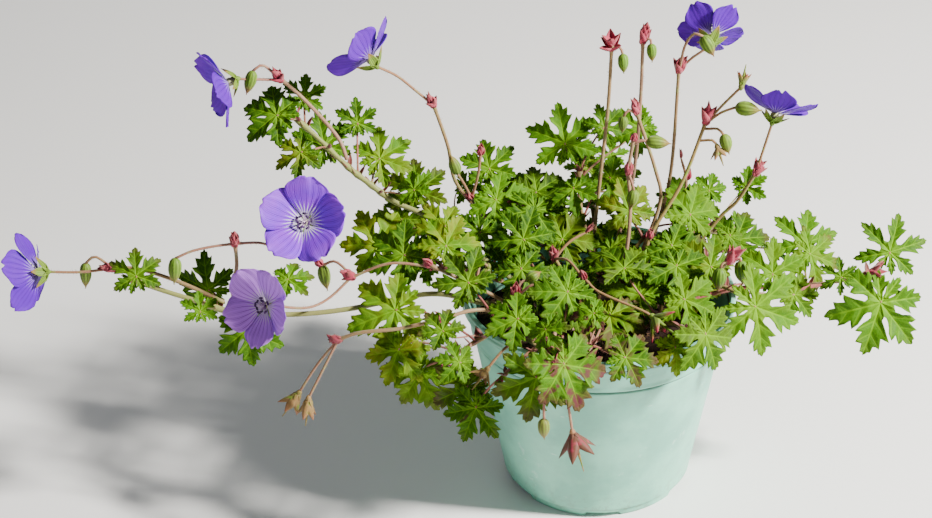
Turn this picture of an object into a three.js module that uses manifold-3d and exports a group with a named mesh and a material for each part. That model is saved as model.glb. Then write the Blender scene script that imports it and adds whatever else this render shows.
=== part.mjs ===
// Hardy geranium in a nursery pot: a pot of peat, leafy stems that climb and trail out of it,
// flower stalks with bracts, buds and calyxes, and seven open blooms.
// Millimetres, +Z up. The origin is the middle of the pot's base, on the surface it stands on.

import * as THREE from "three";
import { mergeVertices } from "three/addons/utils/BufferGeometryUtils.js";
import Module from "manifold-3d";

const wasm = await Module();
wasm.setup();

// ---- driving dimensions ----------------------------------------------------------------------

const POT_HEIGHT = 145;
const RIM_RADIUS = 94;
const WALL_RADIUS_TOP = 91.4;
const WALL_RADIUS_BOTTOM = 66.5;
const FOOT_RADIUS = 63.5;
const FOOT_HEIGHT = 6;
const FOOT_WIDTH = 6;
const FLOOR_LIFT = 4;
const WALL = 2;
const LIP_HEIGHT = 6;
const STEP_DEPTH = 26;
const DRAIN_HOLES = 6;
const DRAIN_HOLE_RADIUS = 5;
const DRAIN_RING_RADIUS = 46;
const FOOT_NOTCHES = 6;
const FOOT_NOTCH_WIDTH = 24;
const FOOT_NOTCH_HEIGHT = 3;
const CENTRE_PAD_RADIUS = 12;
const POT_SIDES = 30;

const SOIL_TOP = 118;
const SOIL_RELIEF = 1.6;
const SOIL_SIDES = 15;
const GAP = 0.4;
const HOLE_FLOOR = 104;
const HOLE_EASE = 0.55;

const STEM_RADIUS = 1.35;
const RUNNER_RADIUS = 2.0;
const STEM_TIP_SHARE = 0.8;
const STALK_RADIUS = 1.4;
const PEDICEL_RADIUS = 0.95;
const PEDICEL_FOOT_RADIUS = 0.5;
const BRACTS = 3;
const BRACT_WAIST = 0.2;
const BRACT_CLOSING = 0.75;
const SEPALS = 5;
const SEPAL_WAIST = 0.34;
const BUD_SHAPE = [[0.35, 1], [0.78, 0.66], [1, 0.12]];
const CALYX_DEPTH = 1.1;
const STALK_TIP_SHARE = 0.85;
const STALK_SIDES = 3;
const STEM_SIDES = 4;
const STEM_STEP = 19;
const STALK_STEP = 28;
const PEDICEL_STEP = 13;

const BLADE_THICKNESS = 0.8;
const PETIOLE_RADIUS = 0.8;
const PETIOLE_FOOT_RADIUS = 0.45;
const SINUS = 0.42;
const PLEAT = 0.34;
const DROOP = 0.2;
const PETAL_THICKNESS = 0.8;
const PETAL_CUP = 0.5;

const LEAF_SEED = 1907;
const FILL_SEED = 52;
const SETTLE_TRIES = 220;
const FULL_REACH_TRY = 85;

const COLOURS = {
  pot: 0xa9c9bf,
  soil: 0x2a2019,
  leaf: 0x6f9a2c,
  stalk: 0x9c6a58,
  petal: 0x6f52c8,
  heart: 0x3a2540,
};

// ---- the plant's layout ----------------------------------------------------------------------
// A leafy stem: the points of its line, from its foot in the soil to its tip, its radius, and its
// leaves. A leaf: the place on the line in points, the middle of the blade (where the leaf stalk
// meets it), the length of its longest lobe, the compass direction that it faces, how far it leans
// from level that way, and how far its tip is turned from straight downhill.

const LEAFY_STEMS = [
  {
    name: "stem_left_runner",
    radius: RUNNER_RADIUS,
    line: [[-26, -8, 104], [-26, -8, 122], [-48, -16, 140], [-78, -26, 152], [-114, -32, 164],
      [-167, -40, 159], [-208, -42, 157], [-247, -42, 161], [-265, -40, 167], [-288, -38, 175],
      [-308, -37, 183]],
    leaves: [
      [9.9, [-304, -46, 192], 21, -90, 50, 185],
      [7.3, [-252, -34, 180], 25, -120, 50, -135],
      [6.2, [-236, -52, 152], 27, -90, 60, 8],
    ],
  },
  {
    name: "stem_upper_left",
    radius: RUNNER_RADIUS,
    line: [[-34, 6, 104], [-34, 6, 122], [-60, 10, 150], [-92, 12, 176], [-115, 16, 196],
      [-137, 20, 206], [-152, 22, 218], [-167, 24, 231], [-185, 26, 251], [-200, 28, 266]],
    leaves: [
      [8.9, [-212, 22, 272], 26, -100, 40, -105],
      [8.6, [-196, 36, 280], 18, -90, 60, 160],
      [7.7, [-196, 12, 249], 20, -100, 45, -60],
      [7.0, [-174, 36, 247], 25, -90, 55, 190],
      [6.6, [-163, 50, 250], 18, -80, 55, 170],
      [6.0, [-146, 36, 231], 26, -90, 45, 125],
    ],
  },
  {
    name: "stem_left_top",
    radius: STEM_RADIUS,
    line: [[-22, 16, 104], [-22, 16, 122], [-52, 20, 150], [-84, 22, 170], [-112, 20, 180],
      [-130, 16, 182]],
    leaves: [
      [3.4, [-122, 46, 200], 27, -90, 45, 185],
      [4.3, [-138, 36, 188], 23, -95, 45, 200],
      [5.0, [-150, 10, 178], 29, -95, 50, -150],
      [3.0, [-104, 2, 196], 25, -100, 30, -80],
    ],
  },
  {
    name: "stem_left_middle",
    radius: STEM_RADIUS,
    line: [[-24, 2, 104], [-24, 2, 122], [-56, -3, 150], [-90, -8, 166], [-112, -12, 172]],
    leaves: [
      [4.0, [-128, -18, 180], 28, -95, 38, -115],
      [3.0, [-100, -14, 186], 25, -90, 40, 150],
      [3.6, [-118, 4, 166], 22, -110, 30, -90],
      [2.3, [-80, 2, 190], 24, -90, 40, -20],
    ],
  },
  {
    name: "stem_left_front",
    radius: STEM_RADIUS,
    line: [[-30, -26, 104], [-30, -26, 122], [-50, -44, 144], [-70, -64, 154], [-90, -76, 150],
      [-106, -78, 140]],
    leaves: [
      [3.7, [-137, -50, 163], 34, -95, 52, -68],
      [4.4, [-136, -68, 143], 25, -100, 58, -20],
      [5.0, [-122, -72, 128], 27, -100, 60, -30],
      [5.0, [-92, -90, 130], 26, -100, 58, -60],
      [2.9, [-84, -48, 170], 25, -95, 40, -120],
    ],
  },
  {
    name: "stem_front_left",
    radius: STEM_RADIUS,
    line: [[-18, -34, 104], [-18, -34, 122], [-30, -62, 147], [-44, -88, 157], [-60, -101, 152],
      [-68, -105, 145]],
    leaves: [
      [4.8, [-86, -104, 121], 24, -95, 60, -20],
      [3.3, [-51, -112, 145], 30, -92, 62, -8],
      [2.6, [-58, -74, 166], 24, -95, 40, -60],
      [1.8, [-38, -56, 166], 27, -95, 46, -70],
    ],
  },
  {
    name: "stem_front",
    radius: STEM_RADIUS,
    line: [[0, -38, 104], [0, -38, 122], [-4, -62, 144], [-10, -84, 155], [-14, -96, 158]],
    leaves: [
      [4.0, [-22, -106, 153], 31, -88, 60, 18],
      [3.4, [10, -100, 154], 22, -85, 42, 80],
      [2.6, [0, -58, 163], 28, -90, 38, 20],
    ],
  },
  {
    name: "stem_middle_left",
    radius: STEM_RADIUS,
    line: [[-14, 24, 104], [-14, 24, 122], [-34, 30, 150], [-52, 34, 176], [-60, 40, 192]],
    leaves: [
      [4.0, [-68, 26, 202], 27, -85, 48, 48],
      [4.0, [-72, 54, 212], 24, -90, 48, 190],
      [3.4, [-40, 40, 200], 24, -80, 40, 120],
      [2.6, [-44, 18, 194], 25, -92, 38, -20],
    ],
  },
  {
    name: "stem_middle",
    radius: STEM_RADIUS,
    line: [[-12, 2, 104], [-12, 2, 122], [-28, 0, 144], [-44, -4, 160], [-54, -7, 168]],
    leaves: [
      [4.0, [-61, -2, 185], 25, -92, 42, -120],
      [3.6, [-54, -24, 177], 24, -90, 45, 25],
      [2.6, [-32, -30, 174], 25, -85, 50, 10],
      [2.4, [-30, 12, 180], 25, -90, 34, 150],
    ],
  },
  {
    name: "stem_top",
    radius: STEM_RADIUS,
    line: [[2, 22, 104], [2, 22, 122], [-4, 34, 158], [-10, 44, 190], [-10, 50, 210]],
    leaves: [
      [4.0, [-20, 54, 230], 29, -90, 55, 188],
      [4.0, [6, 60, 238], 18, -85, 50, 135],
      [3.7, [33, 70, 232], 22, -85, 50, -70],
      [3.0, [-30, 42, 202], 26, -95, 40, -20],
      [2.6, [14, 46, 208], 25, -85, 42, 60],
    ],
  },
  {
    name: "stem_middle_right",
    radius: STEM_RADIUS,
    line: [[12, 6, 104], [12, 6, 122], [16, 8, 144], [24, 18, 162], [38, 26, 176]],
    leaves: [
      [2.3, [30, -14, 168], 27, -90, 42, -30],
      [3.6, [26, 20, 192], 24, -90, 40, 180],
      [4.0, [57, 29, 193], 25, -80, 40, 150],
      [3.0, [10, 6, 182], 24, -95, 40, -110],
    ],
  },
  {
    name: "stem_front_right",
    radius: STEM_RADIUS,
    line: [[14, -20, 104], [14, -20, 122], [26, -40, 142], [42, -62, 155], [52, -78, 160]],
    leaves: [
      [2.2, [24, -36, 162], 27, -90, 44, -100],
      [3.6, [42, -84, 152], 18, -90, 50, 0],
      [4.0, [62, -88, 162], 28, -62, 68, 10],
      [3.0, [54, -62, 168], 24, -80, 46, 70],
      [2.6, [2, -38, 168], 26, -90, 42, -150],
    ],
  },
  {
    name: "stem_right_upper",
    radius: STEM_RADIUS,
    line: [[22, 8, 104], [22, 8, 122], [42, 10, 146], [60, 8, 158], [74, 4, 164]],
    leaves: [
      [4.0, [92, 16, 174], 26, -80, 45, 140],
      [3.4, [66, 47, 182], 25, -80, 42, -160],
      [4.0, [75, -16, 170], 25, -90, 42, -140],
      [2.6, [44, -16, 170], 26, -90, 48, -20],
      [2.1, [48, 2, 176], 25, -84, 38, 50],
    ],
  },
  {
    name: "stem_right_middle",
    radius: STEM_RADIUS,
    line: [[26, -6, 104], [26, -6, 122], [50, -8, 146], [76, -18, 157], [94, -36, 158]],
    leaves: [
      [4.0, [98, -59, 164], 37, -75, 68, 62],
      [3.4, [116, -14, 162], 26, -85, 50, 170],
      [3.8, [128, -32, 156], 20, -70, 45, 80],
    ],
  },
  {
    name: "stem_right_runner",
    radius: RUNNER_RADIUS - 0.2,
    line: [[28, -18, 104], [28, -18, 122], [50, -22, 142], [78, -20, 152], [100, -16, 153],
      [118, -12, 150], [138, -10, 148], [163, -8, 152], [182, -8, 157]],
    leaves: [
      [5.9, [143, 24, 163], 28, -85, 50, 162],
      [6.1, [144, 4, 166], 25, -75, 48, 62],
      [8.0, [198, 4, 166], 28, -88, 58, 162],
      [8.0, [188, -24, 143], 38, -85, 60, -22],
    ],
  },
];

// Flower stalks: lines that start in the soil, or on a leafy stem, and end under a bloom, a bud or
// a seed head. Bracts sit at the joints: their place and length. Buds: their stalk end, their tip
// and their radius. A calyx: its middle, the direction that it opens to, its radius, and how far
// its lobes close forward.

const FLOWER_STALKS = [
  {
    name: "stalk_left_end",
    lines: [
      [[-250, -39, 166], [-270, -36, 176], [-290, -33, 184], [-308, -31, 189], [-322, -34, 191]],
      [[-321, -34, 191], [-342, -36, 190], [-363, -38, 192]],
      [[-321, -34, 191], [-332, -32, 199], [-339, -32, 194]],
    ],
    bracts: [[-321, -34, 191, 9]],
    buds: [[[-339, -32, 194], [-341, -32, 176], 3.2]],
    calyxes: [[[-363, -38, 192], [-0.93, 0.2, -0.15], 9, -0.2]],
  },
  {
    name: "stalk_left_pair",
    lines: [
      [[-243, -38, 164.6], [-244, -36, 176], [-240, -34, 190], [-240, -32, 208]],
      [[-240, -32, 206], [-226, -26, 203], [-213, -18, 196], [-200, -14, 204], [-193, -24, 215]],
      [[-240, -32, 206], [-254, -33, 205], [-268, -35, 203], [-279, -37, 199]],
    ],
    bracts: [[-240, -32, 206, 10]],
    buds: [[[-279, -37, 199], [-281, -40, 182], 3.6]],
    calyxes: [[[-193, -24, 215], [-0.1, -0.8, 0.6], 10, -0.2]],
  },
  {
    name: "stalk_left_low",
    lines: [
      [[-38, -12, 104], [-38, -12, 122], [-60, -27, 150], [-84, -34, 170], [-113, -34, 187]],
      [[-112, -34, 186], [-140, -32, 188], [-166, -32, 178]],
      [[-165, -32, 179], [-180, -40, 168], [-192, -48, 166], [-205, -53, 169], [-216, -57, 174.4]],
      [[-165, -31, 179], [-176, -24, 186], [-185, -20, 181]],
      [[-84, -34, 170], [-80, -24, 182], [-75, -19, 176]],
    ],
    bracts: [[-165, -32, 179, 11], [-112, -34, 186, 8], [-185, -20, 181, 8]],
    buds: [[[-185, -20, 181], [-183, -21, 163], 3.4]],
    calyxes: [
      [[-216, -57, 174.4], [-0.55, -0.75, 0.35], 10, -0.2],
      [[-75, -19, 176], [-0.2, -0.2, -0.95], 12, 0.9],
    ],
  },
  {
    name: "stalk_upper_left",
    lines: [
      [[-168, 28, 235], [-172, 33, 246], [-181, 34, 260], [-195, 29, 281], [-208, 25, 297]],
      [[-208, 25, 296], [-222, 20, 299], [-235, 16, 301.6]],
      [[-208, 25, 296], [-218, 22, 308], [-225, 20, 305]],
    ],
    bracts: [[-208, 25, 296, 11]],
    buds: [[[-225, 20, 305], [-230, 18, 290], 3.2]],
    calyxes: [[[-235, 16, 301.6], [-0.9, -0.35, -0.2], 9, -0.2]],
  },
  {
    name: "stalk_top_left",
    lines: [
      [[-28, 28, 104], [-28, 28, 122], [-58, 44, 160], [-82, 46, 186], [-96, 42, 210],
        [-100, 38, 238], [-109, 40, 269]],
      [[-109, 40, 268], [-120, 39, 279], [-132, 35, 292], [-145, 27, 303]],
      [[-82, 46, 185], [-84, 32, 198], [-89, 27, 213], [-94, 26, 223]],
      [[-85, 30, 200], [-80, 30, 220], [-78, 31, 235]],
    ],
    bracts: [[-109, 40, 268, 10], [-85, 30, 201, 8], [-78, 31, 234, 8]],
    buds: [[[-94, 26, 223], [-98, 26, 237], 3.2]],
    calyxes: [[[-145, 27, 303], [-0.65, 0.45, 0.6], 10, -0.2]],
  },
  {
    name: "stalk_seed_left",
    lines: [
      [[-46, -24, 104], [-46, -24, 122], [-62, -40, 150], [-84, -54, 164], [-108, -63, 163],
        [-134, -68, 160], [-160, -67, 157], [-175, -64, 150]],
      [[-174, -64, 151], [-189, -61, 130], [-203, -60, 107]],
      [[-174, -64, 151], [-185, -67, 130], [-196, -70, 109]],
    ],
    bracts: [[-174, -64, 151, 9], [-106, -62, 163, 9]],
    buds: [],
    calyxes: [
      [[-203, -60, 107], [-0.55, 0, -0.83], 15, 1.2],
      [[-196, -70, 109], [-0.15, -0.1, -0.98], 14, 1.3],
    ],
  },
  {
    name: "stalk_tall_one",
    lines: [
      [[-2, 12, 104], [-2, 12, 122], [-2, 24, 160], [2, 32, 205], [8, 40, 262], [10, 41, 308]],
      [[10, 41, 304], [15, 39, 307], [17, 38, 302]],
    ],
    bracts: [[10, 41, 306, 13]],
    buds: [[[17, 38, 302], [18, 37, 289], 3.0]],
    calyxes: [],
  },
  {
    name: "stalk_tall_two",
    lines: [
      [[12, 28, 104], [12, 28, 122], [16, 34, 165], [26, 40, 210], [30, 44, 262], [31, 46, 310]],
      [[31, 46, 306], [35, 43, 311], [36, 42, 307]],
    ],
    bracts: [[31, 46, 308, 12]],
    buds: [[[36, 42, 307], [37, 41, 295], 2.8]],
    calyxes: [],
  },
  {
    name: "stalk_pale",
    lines: [
      [[20, 18, 104], [20, 18, 122], [30, 18, 160], [43, 24, 198], [40, 28, 220], [26, 36, 263]],
      [[27, 36, 260], [21, 34, 263], [18, 33, 259]],
    ],
    bracts: [[26, 36, 261, 9]],
    buds: [[[18, 33, 259], [17, 32, 248], 2.8]],
    calyxes: [],
  },
  {
    name: "stalk_middle",
    lines: [
      [[2, 4, 104], [2, 4, 122], [10, -4, 150], [18, -4, 176], [21, 4, 206], [20, 12, 228],
        [23, 14, 251]],
      [[23, 14, 248], [29, 13, 251], [32, 13, 250]],
      [[20, 12, 227], [22, 5, 223], [23, 3, 219]],
    ],
    bracts: [[20, 12, 228, 9], [23, 14, 250, 6]],
    buds: [[[32, 13, 250], [47, 11, 249], 3.6], [[23, 3, 219], [21, 2, 206], 3.2]],
    calyxes: [],
  },
  {
    name: "stalk_right_back",
    lines: [
      [[30, 30, 104], [30, 30, 122], [42, 40, 165], [52, 44, 210], [56, 50, 285]],
      [[56, 50, 284], [64, 47, 294], [72, 45, 301], [76, 46, 305]],
      [[56, 49, 283], [58, 42, 304], [63, 36, 316], [69, 34, 315]],
      [[46, 41, 182], [58, 38, 192], [62, 37, 207], [57, 37, 228]],
    ],
    bracts: [[56, 50, 284, 12], [62, 37, 208, 8]],
    buds: [[[69, 34, 315], [76, 32, 302], 3.6]],
    calyxes: [[[76, 46, 305], [0.1, 0.9, 0.3], 9, -0.2]],
  },
  {
    name: "stalk_right_cluster",
    lines: [
      [[34, 4, 104], [34, 4, 122], [33, 4, 150], [34, 7, 178], [57, 20, 215], [73, 30, 256]],
      [[73, 30, 254], [82, 26, 268], [93, 17, 286]],
      [[73, 30, 254], [82, 25, 264], [91, 22, 269]],
      [[72, 29, 250], [80, 25, 252], [84, 24, 248]],
      [[69, 28, 242], [77, 24, 244], [80, 22, 240]],
    ],
    bracts: [[73, 30, 255, 15], [34, 7, 179, 8]],
    buds: [
      [[91, 22, 269], [106, 16, 269], 4.0],
      [[84, 24, 248], [88, 22, 235], 3.4],
    ],
    calyxes: [[[93, 17, 286], [0.2, 0.3, 0.9], 10, 1.3], [[80, 22, 240], [0.3, -0.3, -0.9], 9, 0.9]],
  },
  {
    name: "stalk_right_bloom",
    lines: [
      [[46, 16, 104], [46, 16, 122], [62, 22, 152], [84, 28, 182], [96, 27, 196], [108, 25, 220]],
      [[106, 25, 214], [111, 25, 234], [116, 24, 256]],
    ],
    bracts: [[108, 25, 218, 12]],
    buds: [],
    calyxes: [[[116, 24, 256], [0.33, 0.45, 0.83], 9, -0.2]],
  },
  {
    name: "stalk_front",
    lines: [
      [[-10, -28, 104], [-10, -28, 122], [-21, -58, 150], [-33, -86, 168], [-36, -104, 167]],
      [[-36, -103, 166], [-33, -113, 152], [-28, -120, 134], [-25, -122, 113]],
      [[-36, -103, 166], [-41, -116, 150], [-43, -122, 132], [-43, -123, 124]],
    ],
    bracts: [[-36, -103, 166, 12]],
    buds: [[[-43, -123, 124], [-43, -124, 110], 3.2]],
    calyxes: [[[-25, -122, 113], [0.25, -0.2, -0.95], 19, 1.0]],
  },
  {
    name: "stalk_pink",
    lines: [
      [[0, -12, 104], [0, -12, 122], [-16, -12, 150], [-31, -10, 177]],
      [[-31, -10, 176], [-22, -24, 182], [-12, -40, 176]],
      [[-12, -39, 176.4], [-3, -49, 172], [23, -61, 165], [30, -64, 162]],
      [[-31, -10, 175], [-20, -4, 185], [-6, 2, 190]],
    ],
    bracts: [[-31, -10, 176, 9], [-12, -40, 176, 8]],
    buds: [],
    calyxes: [[[30, -64, 162], [0.7, -0.5, -0.4], 13, 0.7]],
  },
  {
    name: "stalk_arched",
    lines: [
      [[-56, -50, 104], [-56, -50, 122], [-59, -46, 148], [-58, -46, 171]],
      [[-58, -46, 169], [-54, -42, 177], [-50, -40, 177]],
      [[-58, -47, 168], [-47, -49, 179], [-38, -48, 176], [-35, -48, 168]],
    ],
    bracts: [[-58, -46, 170, 9]],
    buds: [[[-50, -40, 177], [-41, -36, 181], 3.2], [[-35, -48, 168], [-34, -48, 152], 3.8]],
    calyxes: [],
  },
  {
    name: "stalk_right_buds",
    lines: [
      [[42, -12, 104], [42, -12, 122], [52, -32, 148], [66, -40, 168], [82, -39, 188]],
      [[82, -39, 187], [78, -42, 188], [76, -43, 184]],
      [[82, -39, 186], [88, -38, 190], [90, -38, 186]],
    ],
    bracts: [[82, -39, 187, 13]],
    buds: [[[76, -43, 184], [75, -44, 168], 3.8], [[90, -38, 186], [92, -39, 170], 3.8]],
    calyxes: [],
  },
  {
    name: "stalk_front_seed",
    lines: [
      [[-40, -42, 104], [-40, -42, 122], [-52, -60, 144], [-61, -78, 153]],
      [[-61, -77, 152.6], [-68, -84, 151], [-78, -91, 142]],
    ],
    bracts: [[-61, -78, 153, 8]],
    buds: [],
    calyxes: [[[-78, -91, 142], [-0.6, -0.5, -0.6], 11, 0.9]],
  },
];

// Open blooms: name, the end of their pedicel, the direction that they face, their radius and
// their turn.
const BLOOMS = [
  ["upper_left", [-235, 16, 301.6], [-0.9, -0.35, -0.2], 27, 20],
  ["top_left", [-145, 27, 303], [-0.65, 0.45, 0.6], 27, 0],
  ["left_face", [-193, -24, 215], [-0.1, -0.8, 0.6], 29, 6],
  ["left_low", [-216, -57, 174.4], [-0.55, -0.75, 0.35], 27, 30],
  ["left_end", [-363, -38, 192], [-0.93, 0.2, -0.15], 27, 10],
  ["right_back", [76, 46, 305], [0.1, 0.9, 0.3], 23, 14],
  ["right_front", [116, 24, 256], [0.33, 0.45, 0.83], 26, 40],
];
const NECK = 5.2;

// Leafy stems that fill the back and the sides: compass direction, length over ground, height of
// the tip, and number of leaves.
const FILL_STEMS = [
  [32, 104, 162, 3],
  [89, 100, 172, 4],
  [119, 100, 162, 3],
];
const FILL_FOOT_RADIUS = 44;
const FILL_FIRST_LEAF = 0.25;
const FILL_LEAF_SPAN = 0.85;

// ---- small tools -----------------------------------------------------------------------------

const vec = (p) => new THREE.Vector3(p[0], p[1], p[2]);
const rad = (degrees) => (degrees * Math.PI) / 180;

function seededRandom(seed) {
  let state = seed >>> 0;
  return () => {
    state = (state + 0x6d2b79f5) >>> 0;
    let t = state;
    t = Math.imul(t ^ (t >>> 15), t | 1);
    t ^= t + Math.imul(t ^ (t >>> 7), t | 61);
    return ((t ^ (t >>> 14)) >>> 0) / 4294967296;
  };
}

function curveThrough(points) {
  return new THREE.CatmullRomCurve3(points.map(vec), false, "catmullrom", 0.5);
}

function meshOf(positions, triangles) {
  const geometry = new THREE.BufferGeometry();
  geometry.setAttribute("position", new THREE.Float32BufferAttribute(positions, 3));
  geometry.setIndex(triangles);
  return geometry;
}

function solidOf(geometry) {
  geometry.deleteAttribute("normal");
  geometry.deleteAttribute("uv");
  const merged = mergeVertices(geometry, 1e-4);
  return new wasm.Manifold(new wasm.Mesh({
    numProp: 3,
    vertProperties: new Float32Array(merged.attributes.position.array),
    triVerts: new Uint32Array(merged.index.array),
  }));
}

function geometryOf(solid) {
  const mesh = solid.getMesh();
  const geometry = new THREE.BufferGeometry();
  geometry.setAttribute("position", new THREE.BufferAttribute(mesh.vertProperties, 3));
  geometry.setIndex(new THREE.BufferAttribute(mesh.triVerts, 1));
  return geometry;
}

const joined = (solids) => solids.reduce((whole, piece) => whole.add(piece));

// Turns a solid's own z axis to a direction and moves it to a place.
function placed(geometry, place, direction) {
  const turn = new THREE.Quaternion().setFromUnitVectors(
    new THREE.Vector3(0, 0, 1), vec(direction).normalize());
  return geometry.applyQuaternion(turn).translate(place[0], place[1], place[2]);
}

// ---- stems and blades ------------------------------------------------------------------------

function tubeSteps(curve, step) {
  return Math.max(2, Math.round(curve.getLength() / step));
}

// A many-sided tube along a smooth line, thinner towards its tip.
function stemTube(points, radius, tipShare, sides, step) {
  const curve = curveThrough(points);
  const steps = tubeSteps(curve, step);
  const outline = new THREE.Shape();
  for (let i = 0; i < sides; i += 1) {
    const angle = (2 * Math.PI * i) / sides;
    outline[i ? "lineTo" : "moveTo"](radius * Math.cos(angle), radius * Math.sin(angle));
  }
  const tube = new THREE.ExtrudeGeometry(outline, { steps, bevelEnabled: false, extrudePath: curve });
  const rings = tubeRings(curve, step);
  const place = tube.attributes.position;
  const point = new THREE.Vector3();
  for (let i = 0; i < place.count; i += 1) {
    point.fromBufferAttribute(place, i);
    const away = rings.map((ring) => ring.distanceTo(point));
    const nearest = away.indexOf(Math.min(...away));
    const share = 1 - ((1 - tipShare) * nearest) / steps;
    point.sub(rings[nearest]).multiplyScalar(share).add(rings[nearest]);
    place.setXYZ(i, point.x, point.y, point.z);
  }
  return solidOf(tube);
}

const tubeRings = (curve, step) => curve.getSpacedPoints(tubeSteps(curve, step));

// The point nearest to a target on straight runs between rings, so inside a tube through them.
function nearestOn(chains, target) {
  const best = chains[0][0].clone();
  const found = new THREE.Vector3();
  chains.forEach((rings) => {
    for (let k = 1; k < rings.length; k += 1) {
      new THREE.Line3(rings[k - 1], rings[k]).closestPointToPoint(target, true, found);
      if (found.distanceTo(target) < best.distanceTo(target)) best.copy(found);
    }
  });
  return best;
}

// A thin plate over a star-shaped outline, given by its middle surface: the same fan of triangles
// on both faces. The last side, from the last outline point to the first, can carry a stalk.
function plate(outline, centre, normal, thickness, stalkRings) {
  const n = outline.length;
  const positions = [];
  const triangles = [];
  const half = normal.clone().multiplyScalar(thickness / 2);
  const put = (p) => positions.push(p.x, p.y, p.z);
  outline.forEach((p) => put(p.clone().add(half)));
  outline.forEach((p) => put(p.clone().sub(half)));
  put(centre.clone().add(half));
  put(centre.clone().sub(half));
  for (let i = 0; i < n; i += 1) {
    const j = (i + 1) % n;
    triangles.push(2 * n, i, j, 2 * n + 1, n + j, n + i);
    if (i < n - 1 || !stalkRings) triangles.push(i, n + i, n + j, i, n + j, j);
  }
  if (stalkRings) addStalk(positions, triangles, [n - 1, 2 * n - 1, n, 0], stalkRings);
  return meshOf(positions, triangles);
}

// The blade's four base corners narrow to a three-cornered stalk.
function addStalk(positions, triangles, [a, b, c, d], rings) {
  let last = null;
  rings.forEach((ring) => {
    const next = ring.map((corner) => {
      positions.push(corner.x, corner.y, corner.z);
      return positions.length / 3 - 1;
    });
    if (!last) {
      const [p, q, r] = next;
      triangles.push(a, b, q, b, c, q, c, r, q, c, d, r, d, a, p, d, p, r, a, q, p);
    } else {
      for (let k = 0; k < 3; k += 1) {
        const m = (k + 1) % 3;
        triangles.push(last[k], last[m], next[m], last[k], next[m], next[k]);
      }
    }
    last = next;
  });
  triangles.push(last[0], last[1], last[2]);
}

// ---- a leaf ----------------------------------------------------------------------------------
// Five deeply cut lobes round the leaf stalk. Each lobe: its direction, length and half width as
// shares of the leaf's length. Along a lobe u runs from the middle of the leaf to the lobe's tip,
// and v runs across it.

const LOBES = [
  { turn: -116, length: 0.8, width: 0.28, outline: [[0.64, -1], [1, 0]] },
  { turn: -57, length: 0.97, width: 0.31, outline: [[0.67, -1], [1, 0], [0.67, 1]] },
  { turn: 0, length: 1, width: 0.32, outline: [[0.67, -1], [1, 0], [0.67, 1]] },
  { turn: 57, length: 0.97, width: 0.31, outline: [[0.67, -1], [1, 0], [0.67, 1]] },
  { turn: 116, length: 0.8, width: 0.28, outline: [[1, 0], [0.64, 1]] },
];
const TOOTHED_OUTLINE = [[0.64, -0.95], [0.77, -0.62], [1, 0], [0.77, 0.62], [0.64, 0.95]];
const BASE_BACK = 1.0;
const BASE_HALF_WIDTH = 0.6;
const LONG_PETIOLE = 34;
const TOOTHED_LEAF = 28;

function leafAxes(faces, leans, turned) {
  const a = rad(faces);
  const t = rad(leans);
  const s = rad(turned);
  const downhill = new THREE.Vector3(Math.cos(a) * Math.cos(t), Math.sin(a) * Math.cos(t), -Math.sin(t));
  const up = new THREE.Vector3(Math.cos(a) * Math.sin(t), Math.sin(a) * Math.sin(t), Math.cos(t));
  const side = up.clone().cross(downhill);
  const tip = downhill.multiplyScalar(Math.cos(s)).addScaledVector(side, Math.sin(s));
  return { tip, side: up.clone().cross(tip), up };
}

// Height of the blade over its own plane: folded up beside each lobe's midrib, drooping and waved
// towards the tips.
function bladeHeight(leaf, lobe, u, v) {
  return leaf.size * (PLEAT * Math.abs(v) * (1 - 0.5 * u) + (leaf.wave[lobe] - DROOP) * u * u);
}

function bladePoint(leaf, lobe, u, v) {
  const turn = rad(LOBES[lobe].turn);
  const x = leaf.size * (u * Math.cos(turn) - v * Math.sin(turn));
  const y = leaf.size * (u * Math.sin(turn) + v * Math.cos(turn));
  return leaf.middle.clone()
    .addScaledVector(leaf.axes.tip, x)
    .addScaledVector(leaf.axes.side, y)
    .addScaledVector(leaf.axes.up, bladeHeight(leaf, lobe, u, v));
}

function sinusPoint(leaf, lobe) {
  const half = rad(LOBES[lobe + 1].turn - LOBES[lobe].turn) / 2;
  const u = SINUS * Math.cos(half);
  const v = SINUS * Math.sin(half);
  return bladePoint(leaf, lobe, u, v).add(bladePoint(leaf, lobe + 1, u, -v)).multiplyScalar(0.5);
}

function leafOutline(leaf) {
  const back = leaf.middle.clone().addScaledVector(leaf.axes.tip, -BASE_BACK);
  const points = [back.clone().addScaledVector(leaf.axes.side, -BASE_HALF_WIDTH)];
  LOBES.forEach((lobe, k) => {
    const toothed = lobe.outline.length > 2 && leaf.size > TOOTHED_LEAF;
    const shape = toothed ? TOOTHED_OUTLINE : lobe.outline;
    shape.forEach(([u, v]) => points.push(bladePoint(leaf, k, u * lobe.length, v * lobe.width)));
    if (k < LOBES.length - 1) points.push(sinusPoint(leaf, k));
  });
  points.push(back.clone().addScaledVector(leaf.axes.side, BASE_HALF_WIDTH));
  return points;
}

// The leaf stalk: a curve from the blade's base back and down to the stem.
function petioleCurve(leaf) {
  const start = leaf.middle.clone().addScaledVector(leaf.axes.tip, -BASE_BACK);
  const length = start.distanceTo(leaf.foot);
  const leave = start.clone()
    .addScaledVector(leaf.axes.tip, -0.25 * length)
    .addScaledVector(leaf.axes.up, -0.25 * length);
  const arrive = leaf.foot.clone().lerp(start, 0.3);
  arrive.z += 0.12 * length;
  return new THREE.CubicBezierCurve3(start, leave, arrive, leaf.foot);
}

const petioleSteps = (curve) => (curve.getLength() > LONG_PETIOLE ? 3 : 2);

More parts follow.
